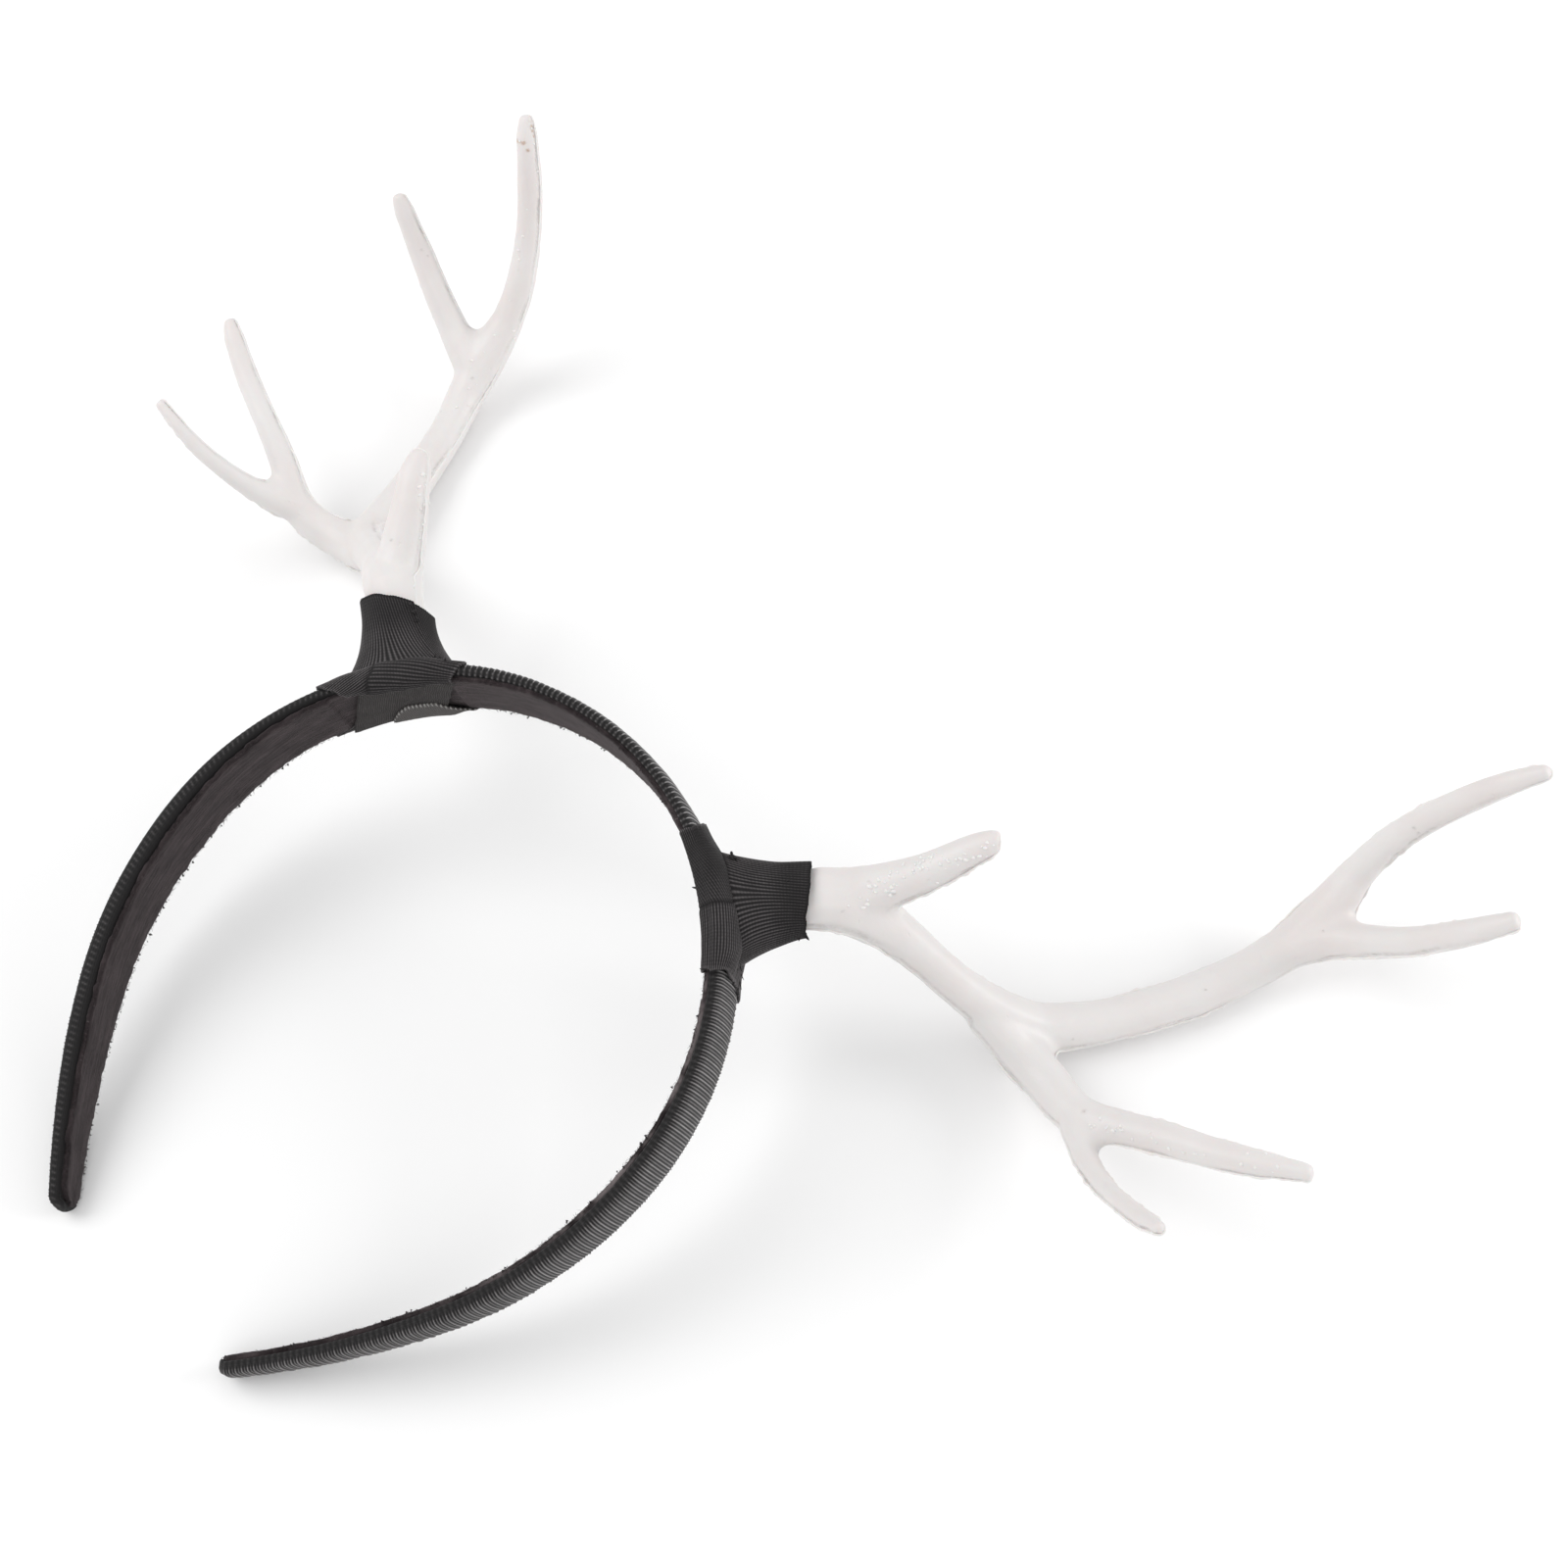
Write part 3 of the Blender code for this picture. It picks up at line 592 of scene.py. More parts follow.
def makeBand():
    look = bandPiece
    low, high = look["edgeEnds"]
    places = look["innerSteps"] + list(np.linspace(low, high, look["edgeSteps"]))
    places += list(np.linspace(high, 1.0, look["domeSteps"] + 1)[1:])
    length, half = resample(look["section"], places)
    section = mirrored(half)
    sectionPlace = np.array(places + [2.0 - place for place in places[:-1][::-1]])
    flat = section[:, :2] * np.array([hoop["width"] * 0.5, hoop["edge"]])
    flat[:, 1] += section[:, 2] * hoop["dome"]
    tangent = np.roll(flat, -1, 0) - np.roll(flat, 1, 0)
    tangent[0] = tangent[-1] = (1.0, 0.0)
    tangent /= np.linalg.norm(tangent, axis=1)[:, None]
    outward = np.stack([tangent[:, 1], -tangent[:, 0]], 1)
    ribs = int(2.0 * hoop["half"] / look["ribPitch"])
    piece, along, around = addStrip("hoop_ribbon", ribs * look["stepsPerRib"], len(section) - 1)
    column = np.rint(around * (len(section) - 1)).astype(int)
    run = (along - 0.5) * 2.0 * hoop["half"]
    phase = along * ribs
    place = sectionPlace[column]
    # near the crown each rib is a single low cord, down the limbs it parts into two
    parted = smoothStep(np.abs(run), *look["parted"])
    pair = 0.5 - 0.5 * np.cos(4.0 * math.pi * phase)
    lower = 0.5 - 0.5 * np.sin(2.0 * math.pi * phase)
    lowered = 1.0 - (0.95 - 0.55 * parted) * lower
    cord = pair * lowered
    folded = np.minimum(place, 2.0 - place)
    edgeShare = np.clip((folded - low) / (high - low), 0.0, 1.0)
    side = np.where(place > 1.0, -1.0, 1.0)
    hooked = smoothStep(-run, *look["hooked"])
    onRibs = smoothStep(edgeShare, 0.38 + 0.42 * hooked, 0.54 + 0.38 * hooked)
    # the weft turns back at the selvedge in a narrow row of loops with a row of stitches beside it,
    # and in wider hooks down the left limb
    loop = (0.5 + 0.5 * np.cos(2.0 * math.pi * (phase + side * (0.9 + hooked) * edgeShare))) ** 1.6
    quiet = 1.0 - 0.5 * smoothStep(run, *look["quiet"])
    loopRow = np.exp(-((edgeShare - 0.18 - 0.23 * hooked) / (0.065 + 0.045 * hooked)) ** 2)
    loops = loopRow * loop * quiet * (1.0 - 0.28 * hooked)
    stitch = (0.5 + 0.5 * np.cos(2.0 * math.pi * (phase + 0.5 - side * 0.9 * edgeShare))) ** 1.6
    stitchRow = np.exp(-((edgeShare - 0.34 - 0.29 * hooked) / 0.065) ** 2)
    stitches = stitchRow * stitch * quiet * (1.0 - 0.7 * hooked)
    rim = np.exp(-((edgeShare - 0.05) / 0.07) ** 2)
    wobble = clothRipples(run, place * 8.0, 9.0, 1.0) * 0.05
    uneven = 0.85 + 0.5 * clothRipples(run, run * 0.0, 1.3, 2.0)
    bold = look["crownRibs"] + (1.0 - look["crownRibs"]) * parted
    lift = onRibs * cord * look["ribHeight"] * uneven * bold
    lift += (loops + stitches * 0.7) * look["loopHeight"] + rim * look["rimHeight"] + wobble
    lift *= smoothStep(folded, 0.30, 0.42)
    toEnd = hoop["half"] - np.abs(run)
    wide = halfWidth(run, hoop["half"])
    tip = smoothStep(toEnd, 0.0, 2.6)
    shape = section[column]
    across = shape[:, 0] * wide + outward[column, 0] * lift
    # at the tips the ribbon is folded over the lining's end
    floor = hoop["offset"] - sink(run) - (1.0 - smoothStep(toEnd, 1.2, 2.4))
    top = hoop["offset"] + edgeHeight(run) + shape[:, 2] * domeHeight(run) - (1.0 - tip) * 0.3
    height = floor + (top - floor) * shape[:, 1] + outward[column, 1] * lift
    rounding = np.sqrt(1.0 - (1.0 - np.clip(toEnd / look["tipRounding"], 0.0, 1.0)) ** 2)
    middle = (floor + top) * 0.5
    height = middle + (height - middle) * np.maximum(rounding, 0.2)
    writePoints(piece, layDown(onHoop(lengthened(run), across, height)))
    # colour follows crest: painted shade between the cords, and painted light on raised cords, loops,
    # stitches and the rim
    crest = onRibs * (0.02 + 0.98 * cord) * (0.8 + 0.2 * uneven) + loops * 0.9 + stitches * 0.8 + rim * 0.25
    writeValues(piece, "crest", np.clip(crest, 0.0, 1.0))
    # painted glint on the outer face's higher cords, stronger towards the crown, and a little on the loops
    # and stitches
    paintedGlint = smoothStep(folded, 0.47, 0.62) * pair ** 2.8 * lowered * onRibs * (1.9 - 1.2 * parted)
    paintedGlint = paintedGlint + (0.15 * loops + 0.12 * stitches) * (1.0 - 0.5 * hooked)
    writeValues(piece, "paintedGlint", np.clip(paintedGlint, 0.0, 1.0))
    writeUv(piece, run, place * length)
    closeUp(piece)
    dress(piece, ribbonFinish, "ribbon", "band")


makeBand()
print("hoop ribbon made")


def saddleEnds(side, spread):
    # start and end of the wound ribbon, for a place across it from the back, below 0, to the front
    front = np.clip(spread / 9.2, -1.0, 1.0)
    onLip = smoothStep(spread, 8.6, 13.4)
    start = side["ends"][0] + side["skews"][0] * front + side["lipSkews"][0] * onLip
    return start, side["ends"][1] + side["skews"][1] * front + side["lipSkews"][1] * onLip


def pressedShare(run, inset=1.6):
    pressed = np.zeros_like(run)
    for side in (rightSide, leftSide):
        low, high = side["ends"][0] + inset, side["ends"][1] - abs(side["skews"][1]) - inset
        place = run * side["sign"]
        inside = smoothStep(place, low - 1.0, low) * (1.0 - smoothStep(place, high, high + 1.0))
        pressed = np.maximum(pressed, inside)
    return pressed


liningPiece = {
    "columns": 900,
    "short": 0.9,
    "ragged": 0.55,
    "nap": 0.14,
    "fibres": 3400,
    "fibreReach": (0.15, 0.55),
    "longReach": (0.6, 1.3),
    "shortShare": 0.92,
    "fibreRadius": (0.028, 0.05),
    "knots": 260,
    "knotSize": (0.10, 0.24),
    # half the section from the hidden face round the edge to the pile: share of half width, of thickness
    "section": [
        (0.00, 1.00), (0.60, 1.00), (0.94, 0.99), (0.985, 0.86), (1.00, 0.62), (0.995, 0.38), (0.97, 0.18),
        (0.92, 0.07), (0.82, 0.02), (0.68, 0.00), (0.52, 0.00), (0.36, 0.00), (0.18, 0.00), (0.00, 0.00),
    ],
}


def makeLining():
    look = liningPiece
    section = mirrored(np.array(look["section"]))
    piece, along, around = addStrip("lining_velvet", look["columns"], len(section) - 1)
    column = np.rint(around * (len(section) - 1)).astype(int)
    end = hoop["half"] - look["short"]
    run = (along - 0.5) * 2.0 * end
    shape = section[column]
    pressed = pressedShare(run)
    wide = halfWidth(run, end, 0.3)
    wide = wide - hoop["liningInset"] * np.minimum(1.0, wide / 2.4)
    spot = np.stack([run, shape[:, 0] * 9.0, shape[:, 1] * 2.0], 1)
    ragged = clothRipples(run, np.sign(shape[:, 0]) * 50.0, 2.2, 3.0)
    ragged += 0.6 * clothRipples(run, np.sign(shape[:, 0]) * 80.0, 0.8, 4.0)
    atEdge = smoothStep(np.abs(shape[:, 0]), 0.85, 1.0)
    across = shape[:, 0] * wide + np.sign(shape[:, 0]) * atEdge * ragged * look["ragged"]
    nap = ripples(spot, 1.1, 5.0) * look["nap"] + ripples(spot, 6.0, 6.0) * look["nap"] * 0.9
    onPile = 1.0 - smoothStep(shape[:, 1], 0.3, 0.9)
    top = (hoop["offset"] + 0.05) * shape[:, 1]
    level = top + (1.0 - shape[:, 1]) * pressed * (hoop["liningThickness"] - hoop["liningPressed"])
    height = level - nap * onPile * (1.0 - pressed) - 0.05 * onPile * (1.0 - pressed) - sink(run)
    writePoints(piece, layDown(onHoop(lengthened(run), across, height)))
    # painted sheen on the lining of the right limb
    writeValues(piece, "paintedSheen", smoothStep(run, 12.0, 60.0) * (1.0 - smoothStep(run, 110.0, 170.0)))
    writeUv(piece, run, shape[:, 0] * 9.0)
    closeUp(piece)
    dress(piece, velvetFinish, "lining", "lining")


makeLining()
print("lining made")


def addTubes(name, lines, radii, sides=3):
    # thin threads as one mesh: each line of points gets a ring of corners, closed at both ends
    points, faces = [], []
    for line, radius in zip(lines, radii):
        start = len(points)
        line = np.array(line)
        tangents = np.gradient(line, axis=0)
        for number, (spot, tangent) in enumerate(zip(line, tangents)):
            axis = Vector(tangent).normalized()
            first = axis.orthogonal().normalized()
            second = axis.cross(first)
            size = radius * (1.0 - 0.75 * (number / (len(line) - 1)) ** 2)
            for step in range(sides):
                angle = 2.0 * math.pi * step / sides
                points.append(Vector(spot) + (first * math.cos(angle) + second * math.sin(angle)) * size)
        for number in range(len(line) - 1):
            for step in range(sides):
                here, there = start + number * sides + step, start + number * sides + (step + 1) % sides
                faces.append((here, there, there + sides, here + sides))
        faces.append(tuple(reversed(range(start, start + sides))))
        faces.append(tuple(range(len(points) - sides, len(points))))
    return addMesh(name, [tuple(point) for point in points], faces)


def makeLiningFuzz():
    look = liningPiece
    draw = random.Random(11)
    lines, radii = [], []
    end = hoop["half"] - look["short"]
    for number in range(look["fibres"]):
        run = draw.uniform(-end, end)
        side = draw.choice((-1.0, 1.0))
        run3 = np.array([run, run + draw.uniform(-0.5, 0.5), run + draw.uniform(-0.9, 0.9)])
        if pressedShare(run3[:1])[0] > 0.3:
            continue
        wide = halfWidth(run3, end, 0.3) - hoop["liningInset"]
        short = draw.random() < look["shortShare"]
        reach = draw.uniform(*look["fibreReach" if short else "longReach"])
        across = side * (wide + np.array([-0.25, reach * 0.5, reach]))
        height = draw.uniform(0.05, 0.6) + np.array([0.1, 0.0, draw.uniform(-0.45, 0.2)])
        lines.append(layDown(onHoop(lengthened(run3), across, height - sink(run3))))
        radii.append(draw.uniform(*look["fibreRadius"]) * mm)
    for number in range(look["knots"]):
        run = draw.uniform(-end, end)
        side = draw.choice((-1.0, 1.0))
        if pressedShare(np.array([run]))[0] > 0.3:
            continue
        size = draw.uniform(*look["knotSize"])
        run4 = run + np.array([-size, -size * 0.3, size * 0.4, size])
        wide = halfWidth(run4, end, 0.3) - hoop["liningInset"]
        across = side * (wide + draw.uniform(0.0, 0.35) + np.array([0.0, size, 0.6 * size, 0.0]))
        height = draw.uniform(-0.1, 0.5) + np.array([0.0, -size, size, 0.0])
        lines.append(layDown(onHoop(lengthened(run4), across, height - sink(run4))))
        radii.append(size * 0.9 * mm)
    piece = addTubes("lining_fuzz", lines, radii, 4)
    writeUv(piece, readPoints(piece)[:, 0] / mm, readPoints(piece)[:, 1] / mm)
    dress(piece, velvetFinish, "lining")


makeLiningFuzz()
print("lining fuzz made")


saddlePiece = {
    "columns": 96,
    "steps": 236,
    "lip": 2.2,
    "ribPitch": 0.62,
    "ribHeight": 0.22,
    "torn": 0.45,
    "wall": 0.5,
}
saddleRows = [
    (1.00, 0.62, 0.00), (0.985, 0.76, 0.00), (0.94, 0.89, 0.06), (0.88, 0.965, 0.20), (0.80, 1.00, 0.36),
    (0.67, 1.00, 0.56), (0.55, 1.00, 0.72), (0.41, 1.00, 0.84), (0.28, 1.00, 0.93), (0.14, 1.00, 0.98),
    (0.00, 1.00, 1.00),
]


def wrapPath(steps):
    # the way round the hoop at its mount: from the back inner lip over the top to the front inner lip
    wide = float(halfWidth(np.array([45.0]), hoop["half"])[0])
    edge = float(edgeHeight(np.array([45.0]))[0])
    corner = hoop["liningInset"] * 0.7
    low = hoop["liningThickness"] - hoop["liningPressed"]
    half = [(wide - saddlePiece["lip"], low), (wide - corner * 1.4, low)]
    half += [(wide - corner * 0.4, low + corner * 0.35), (wide, low + corner * 1.2)]
    for out, rise, dome in saddleRows:
        domed = dome * hoop["dome"] * wide * 2.0 / hoop["width"]
        half.append((out * wide, hoop["offset"] + rise * edge + domed))
    path = mirrored(np.array(half))
    along = lengths(path)
    spots = np.linspace(0.0, along[-1], steps + 1)
    line = np.stack([np.interp(spots, along, path[:, k]) for k in range(2)], 1)
    tangent = np.gradient(line, axis=0)
    for again in range(6):
        tangent[1:-1] = (tangent[:-2] + 2.0 * tangent[1:-1] + tangent[2:]) / 4.0
    tangent /= np.linalg.norm(tangent, axis=1)[:, None]
    outward = np.stack([tangent[:, 1], -tangent[:, 0]], 1)
    return spots - along[-1] * 0.5, line, outward


wrapReach, wrapLine, wrapOutward = wrapPath(360)


def onWrap(side, run, spread, lift):
    # a point on the wound ribbon: spread is measured round the hoop, from the middle of its outer face
    across, height = (
        np.interp(spread, wrapReach, wrapLine[:, k]) + np.interp(spread, wrapReach, wrapOutward[:, k]) * lift
        for k in range(2))
    return onHoop(side["sign"] * run, across, height)


def hump(values, low, top, end, high):
    return smoothStep(values, low, top) * (1.0 - smoothStep(values, end, high))


def saddleLift(side, run, spread):
    fromCrown = run - saddleEnds(side, spread)[0]
    if side["name"] == "left":
        lift = 0.42 + 0.52 * smoothStep(fromCrown, 0.0, 8.0) + 0.55 * hump(fromCrown, 4.0, 12.0, 17.0, 24.0)
        lift = lift - 0.45 * smoothStep(run - saddleEnds(side, spread)[1], -7.0, -0.5)
        return lift * (1.0 - 0.4 * smoothStep(-spread, 5.0, 9.0))
    corner = hump(spread, 1.5, 6.0, 9.5, 12.5) + 0.5 * hump(-spread, 2.0, 6.0, 9.5, 12.5)
    raised = 1.95 * corner * hump(fromCrown, 2.5, 11.0, 26.0, 32.5)
    return 0.56 + raised + 0.25 * hump(fromCrown, 1.0, 6.0, 30.0, 33.0)


def faceAway(piece, inside, sign=1.0):
    # turns an open sheet so that its faces look away from a worn point, or towards it
    turnOutward(piece)
    middle = piece.data.polygons[len(piece.data.polygons) // 2]
    centre = Vector(layDown(np.array([inside]))[0])
    if (middle.center - centre).dot(middle.normal) * sign < 0.0:
        editWhole(piece, bpy.ops.mesh.flip_normals)


def makeSaddle(side):
    look = saddlePiece
    piece, along, around = addStrip("saddle_ribbon_" + side["name"], look["columns"], look["steps"])
    atMount = saddleLift(side, np.full(len(wrapReach), side["mount"]), wrapReach)
    lifted = wrapLine + wrapOutward * atMount[:, None]
    reach = lengths(lifted)
    spread = np.interp(around * reach[-1], reach, wrapReach)
    over = around * reach[-1] - np.interp(0.0, wrapReach, reach)
    start, stop = saddleEnds(side, spread)
    torn = clothRipples(spread, (along > 0.5) * 9.0, 1.6, 7.0 + side["sign"])
    torn += 0.5 * clothRipples(spread, (along > 0.5) * 9.0, 0.5, 8.0)
    nearEnd = np.maximum(1.0 - along / 0.10, 0.0) - np.maximum(1.0 - (1.0 - along) / 0.10, 0.0)
    run = start + (stop - start) * along + torn * look["torn"] * nearEnd
    fromCrown = run - start
    # past a crease the ribbon's next turn runs another way
    crease = side["crease"]
    if side["name"] == "left":
        climb = np.where(fromCrown < crease, 0.17 * (crease - fromCrown), 0.5 * (fromCrown - crease) + 0.9)
        pitch = look["ribPitch"] * 1.25
        depth = 1.0 + 0.3 * smoothStep(fromCrown, crease, crease + 3.0)
        layer = 0.22 * smoothStep(crease - fromCrown, -0.5, 0.3)
    else:
        rising = -0.46 * np.clip(fromCrown - 4.0, 0.0, 14.0)
        climb = np.where(fromCrown < crease, rising, 0.04 * (fromCrown - crease))
        pitch = look["ribPitch"]
        depth = 0.75 + 0.25 * smoothStep(fromCrown, 9.0, 18.0)
        layer = 0.12 * smoothStep(fromCrown, crease - 0.3, crease + 0.5)
    phase = (over - climb) / pitch + 0.05 * clothRipples(run, spread * 0.3, 2.5, 6.0)
    cord = cords(phase)
    fold = np.exp(-((fromCrown - crease) / 0.45) ** 2)
    lump = clothRipples(run, spread, 4.5, 9.0 + side["sign"]) * 0.12
    lift = saddleLift(side, run, spread) + cord * look["ribHeight"] * depth - fold * 0.12 + lump + layer
    writePoints(piece, layDown(onWrap(side, run, spread, np.maximum(lift, 0.35))))
    hem = np.exp(-(np.minimum(along, 1.0 - along) * 31.0 / 0.5) ** 2)
    # colour follows crest: painted shade between the cords and in the crease, and painted sheen on the
    # cords; the left saddle is painted darker through its side shade; lighter at the ribbon's two ends
    crest = (0.10 + 0.80 * cord * depth) * (1.0 - 0.45 * fold) * side["shade"] + 0.3 * hem
    writeValues(piece, "crest", np.clip(crest, 0.0, 1.0))
    writeUv(piece, phase * look["ribPitch"], run * 0.62)
    faceAway(piece, onHoop(np.array([side["sign"] * side["mount"]]), np.array([0.0]), np.array([2.0]))[0])
    modify(piece, "SOLIDIFY", thickness=look["wall"] * mm, offset=-1.0)
    dress(piece, ribbonFinish, "ribbon", "saddle_" + side["name"])


for side in (rightSide, leftSide):
    makeSaddle(side)
print("saddles made")


sleevePiece = {
    "height": 16.4,
    "radius": 7.9,
    "ribs": 80,
    "stepsPerRib": 4,
    "rowsUp": 56,
    "ribHeight": 0.26,
    "lapDrop": 0.9,  # how much lower the rim is where the ribbon's end laps over
    "lapLift": 0.4,
    "wall": 0.5,
}


def footFrame(side):
    # the middle of the sleeve's foot, the stem's direction and the two directions across it
    run = np.array([side["mount"]])
    top = hoop["offset"] + edgeHeight(run) + domeHeight(run) + hoop["gap"] + hoop["cloth"]
    foot = Vector(onHoop(side["sign"] * run, np.array([0.0]), top)[0])
    out, back, rise = side["stem"]
    axis = Vector((side["sign"] * out, back, rise)).normalized()
    across = Vector((0.0, 1.0, 0.0))
    across = (across - axis * across.dot(axis)).normalized()
    along = across.cross(axis).normalized()
    if along.z < 0.0:
        along = -along
    return np.array(foot), np.array(axis), np.array(along), np.array(across)


def makeSleeve(side):
    look = sleevePiece
    foot, axis, alongHoop, acrossHoop = footFrame(side)
    columns = look["ribs"] * look["stepsPerRib"]
    piece, around, up = addStrip("sleeve_ribbon_" + side["name"], columns, look["rowsUp"])
    turned = 2.0 * math.pi * around + side["twist"] * up ** 1.4
    crownward, backward = np.cos(turned), np.sin(turned)
    squareCrown = np.sign(crownward) * np.abs(crownward) ** 0.85
    squareBack = np.sign(backward) * np.abs(backward) ** 0.85
    crown, tail, front, back = side["reach"]
    run = side["mount"] - np.where(crownward > 0.0, crown, tail) * squareCrown
    spread = -np.where(backward > 0.0, back, front) * squareBack
    base = onWrap(side, run, spread, saddleLift(side, run, spread) - 0.1) - foot
    outward = alongHoop * crownward[:, None] + acrossHoop * backward[:, None]
    rim = look["height"] * (side["height"] - side["topSkew"] * crownward)
    rim = rim + side["frontRim"] * np.maximum(-backward, 0.0) ** 1.3
    rim = rim + clothRipples(crownward * 8.0, backward * 8.0, 3.2, 15.0 + side["sign"]) * 0.35
    rim = rim + clothRipples(crownward * 8.0, backward * 8.0, 1.1, 16.0 + side["sign"]) * 0.12
    lapPlace = np.mod(turned - side["lap"], 2.0 * math.pi)
    overlap = smoothStep(lapPlace, 0.0, 0.05) * (1.0 - smoothStep(lapPlace, 0.9, 1.4))
    rim = rim - overlap * look["lapDrop"]
    crownFlare, tailFlare, sideFlare = side["flares"]
    flare = sideFlare + (crownFlare - sideFlare) * np.maximum(crownward, 0.0) ** 2
    flare = flare + (tailFlare - sideFlare) * np.maximum(-crownward, 0.0) ** 2
    rise = base @ axis
    sideways = base - axis * rise[:, None]
    narrow = outward * look["radius"]
    share = ((1.0 - up) ** flare)[:, None]
    points = foot + axis * (rise + (rim - rise) * up)[:, None] + narrow + (sideways - narrow) * share
    phase = around * look["ribs"] + 0.04 * clothRipples(around * 50.0, up * 9.0, 2.4, 17.0)
    cord = cords(phase)
    lump = ripples(np.stack([crownward * 8.0, backward * 8.0, up * 16.0], 1), 6.0, 13.0 + side["sign"])
    bold = 1.0 - 0.35 * smoothStep(up, 0.35, 0.8)
    lift = cord * look["ribHeight"] * bold + overlap * look["lapLift"] + lump * 0.2
    points = points + outward * lift[:, None]
    writePoints(piece, layDown(points))
    selvedge = smoothStep(up, 0.965, 0.99)
    foots = 1.0 - smoothStep(up, 0.0, 0.03)
    # colour follows crest: painted shade between the cords and painted sheen on them, darker towards the top
    # selvedge and at the foot
    crest = (0.06 + 0.80 * cord * bold) * (1.0 - 0.7 * selvedge) * (1.0 - 0.5 * foots)
    writeValues(piece, "crest", np.clip(crest, 0.0, 1.0))
    writeUv(piece, phase * 0.8, up * 16.0 * 0.62)
    editWhole(piece, bpy.ops.mesh.remove_doubles, threshold=0.000002)
    faceAway(piece, foot + axis * 8.0)
    modify(piece, "SOLIDIFY", thickness=look["wall"] * mm, offset=-1.0)
    dress(piece, ribbonFinish, "ribbon", "sleeve_" + side["name"])


for side in (rightSide, leftSide):
    makeSleeve(side)
print("sleeves made")


# inner patches: each runs across the hoop's inner face and turns up over its back edge
patchPiece = {
    "wall": 0.4,
    "step": 0.45,
    "path": [
        (-7.2, -0.22), (-4.0, -0.42), (0.0, -0.58), (5.0, -0.72), (8.6, -0.78), (9.6, -0.58),
        (10.1, 0.0), (10.2, 1.3),
    ],
    "ends": (41.9, 64.2),
    "skew": 4.25,
}
stripPiece = {
    "wall": 0.4,
    "step": 0.36,
    "path": [(2.6, -1.05), (5.0, -1.20), (8.7, -1.25), (9.9, -1.0), (10.5, -0.35), (10.55, 0.7)],
    "ends": (37.6, 59.2),
    "skew": 0.0,
}


def makePatch(side, name, look, node, pointed=False):
    path = np.array(look["path"])
    reach = lengths(path)
    start, stop = look["ends"]
    columns, rows = int((stop - start) / look["step"]), int(reach[-1] / look["step"])
    piece, along, over = addStrip(name, columns, rows)
    if pointed:
        # rounded at the tail end, drawn out to a point at the crown end
        narrow = np.clip(along / 0.42, 0.0, 1.0) ** 0.8 * np.sqrt(np.clip((1.0 - along) / 0.26, 0.0, 1.0))
        place = reach[-1] * (1.0 - (1.0 - over) * np.maximum(narrow, 0.04))
        tuck = 1.5 * (1.0 - smoothStep(along, 0.10, 0.34))
    else:
        place = reach[-1] * over
        tuck = 0.0
    across, height = np.interp(place, reach, path[:, 0]), np.interp(place, reach, path[:, 1])
    across = across - tuck * smoothStep(across, 6.0, 9.5)
    height = height + tuck * 0.35
    torn = clothRipples(across, (along > 0.5) * 7.0, 2.0, 21.0) * 0.35
    run = start + (stop - start) * along + look["skew"] * np.clip(across / 9.6, -1.0, 1.0) + torn
    edge = np.minimum(along, 1.0 - along) * (stop - start)
    curl = (1.0 - smoothStep(edge, 0.0, 0.9)) * 0.16
    height = height - clothRipples(along * (stop - start), across, 5.0, 23.0) * 0.10 + curl
    writePoints(piece, layDown(onHoop(side["sign"] * run, across, height)))
    writeValues(piece, "stitched", (1.0 - smoothStep(over * 5.0, 0.2, 0.8)) * float(pointed))
    writeValues(piece, "pale", np.full(len(place), float(pointed)))
    writeUv(piece, along * (stop - start), place)
    faceAway(piece, (0.0, 0.0, 0.0), -1.0)
    modify(piece, "SOLIDIFY", thickness=look["wall"] * mm, offset=-1.0)
    dress(piece, weaveFinish, "ribbon", node)
    return piece, (stop - start) * mm, reach[-1] * mm


for side in (leftSide, rightSide):
    if side["name"] == "right":
        patchLook = dict(patchPiece, ends=(31.5, 54.0), skew=-2.0)
    else:
        patchLook = patchPiece
    piece, width, length = makePatch(side, "inner_patch_" + side["name"], patchLook, "patch_" + side["name"])
makePatch(leftSide, "inner_strip_left", stripPiece, "strip_left", pointed=True)
print("patches made")


def faceTree(piece):
    faces = [tuple(face.vertices) for face in piece.data.polygons]
    return BVHTree.FromPolygons([vertex.co for vertex in piece.data.vertices], faces)


def seenAt(tree, x, y):
    # where the camera meets a piece at a place of the photo, and the way its surface faces there
    return tree.ray_cast(cameraPlace, throughPixel(x, y))[:2]


# loose ends of thread and lumps, by their place in the 1600 x 1600 photo: x, y, the way they lean in
# it (right, up), length and half thickness in millimetres
looseThreads = {
    "right": [
        (747, 876, -0.1, 1.0, 1.5, 0.75), (752, 878, -0.6, 1.0, 1.2, 0.5),
        (710, 906, -1.0, 0.2, 0.8, 0.26), (719, 989, -1.0, 0.1, 1.0, 0.30),
        (755, 985, 0.3, -1.0, 1.6, 0.18), (756, 994, 0.5, -1.0, 1.4, 0.16),
        (755, 1002, 0.2, -1.0, 1.7, 0.18), (752, 990, -0.5, -1.0, 1.2, 0.15),
        (753, 1008, 0.1, -1.0, 1.3, 0.2), (823, 956, 0.6, -0.8, 0.9, 0.34),
        (816, 957, -0.3, -1.0, 0.7, 0.24), (803, 899, 0.7, 0.3, 0.3, 0.13),
    ],
    "left": [
        (417, 620, 0.4, 1.0, 1.3, 0.42), (420, 626, 0.8, 0.7, 1.3, 0.40),
        (424, 634, 0.7, 0.7, 1.2, 0.34), (444, 671, 0.2, 1.0, 0.8, 0.30),
        (449, 672, 0.0, 1.0, 0.7, 0.30), (454, 674, 0.3, 1.0, 0.7, 0.28),
        (325, 690, -1.0, 0.5, 0.8, 0.24), (330, 696, -1.0, -0.4, 0.9, 0.16),
        (336, 701, -0.7, -0.7, 0.9, 0.16),
    ],
}


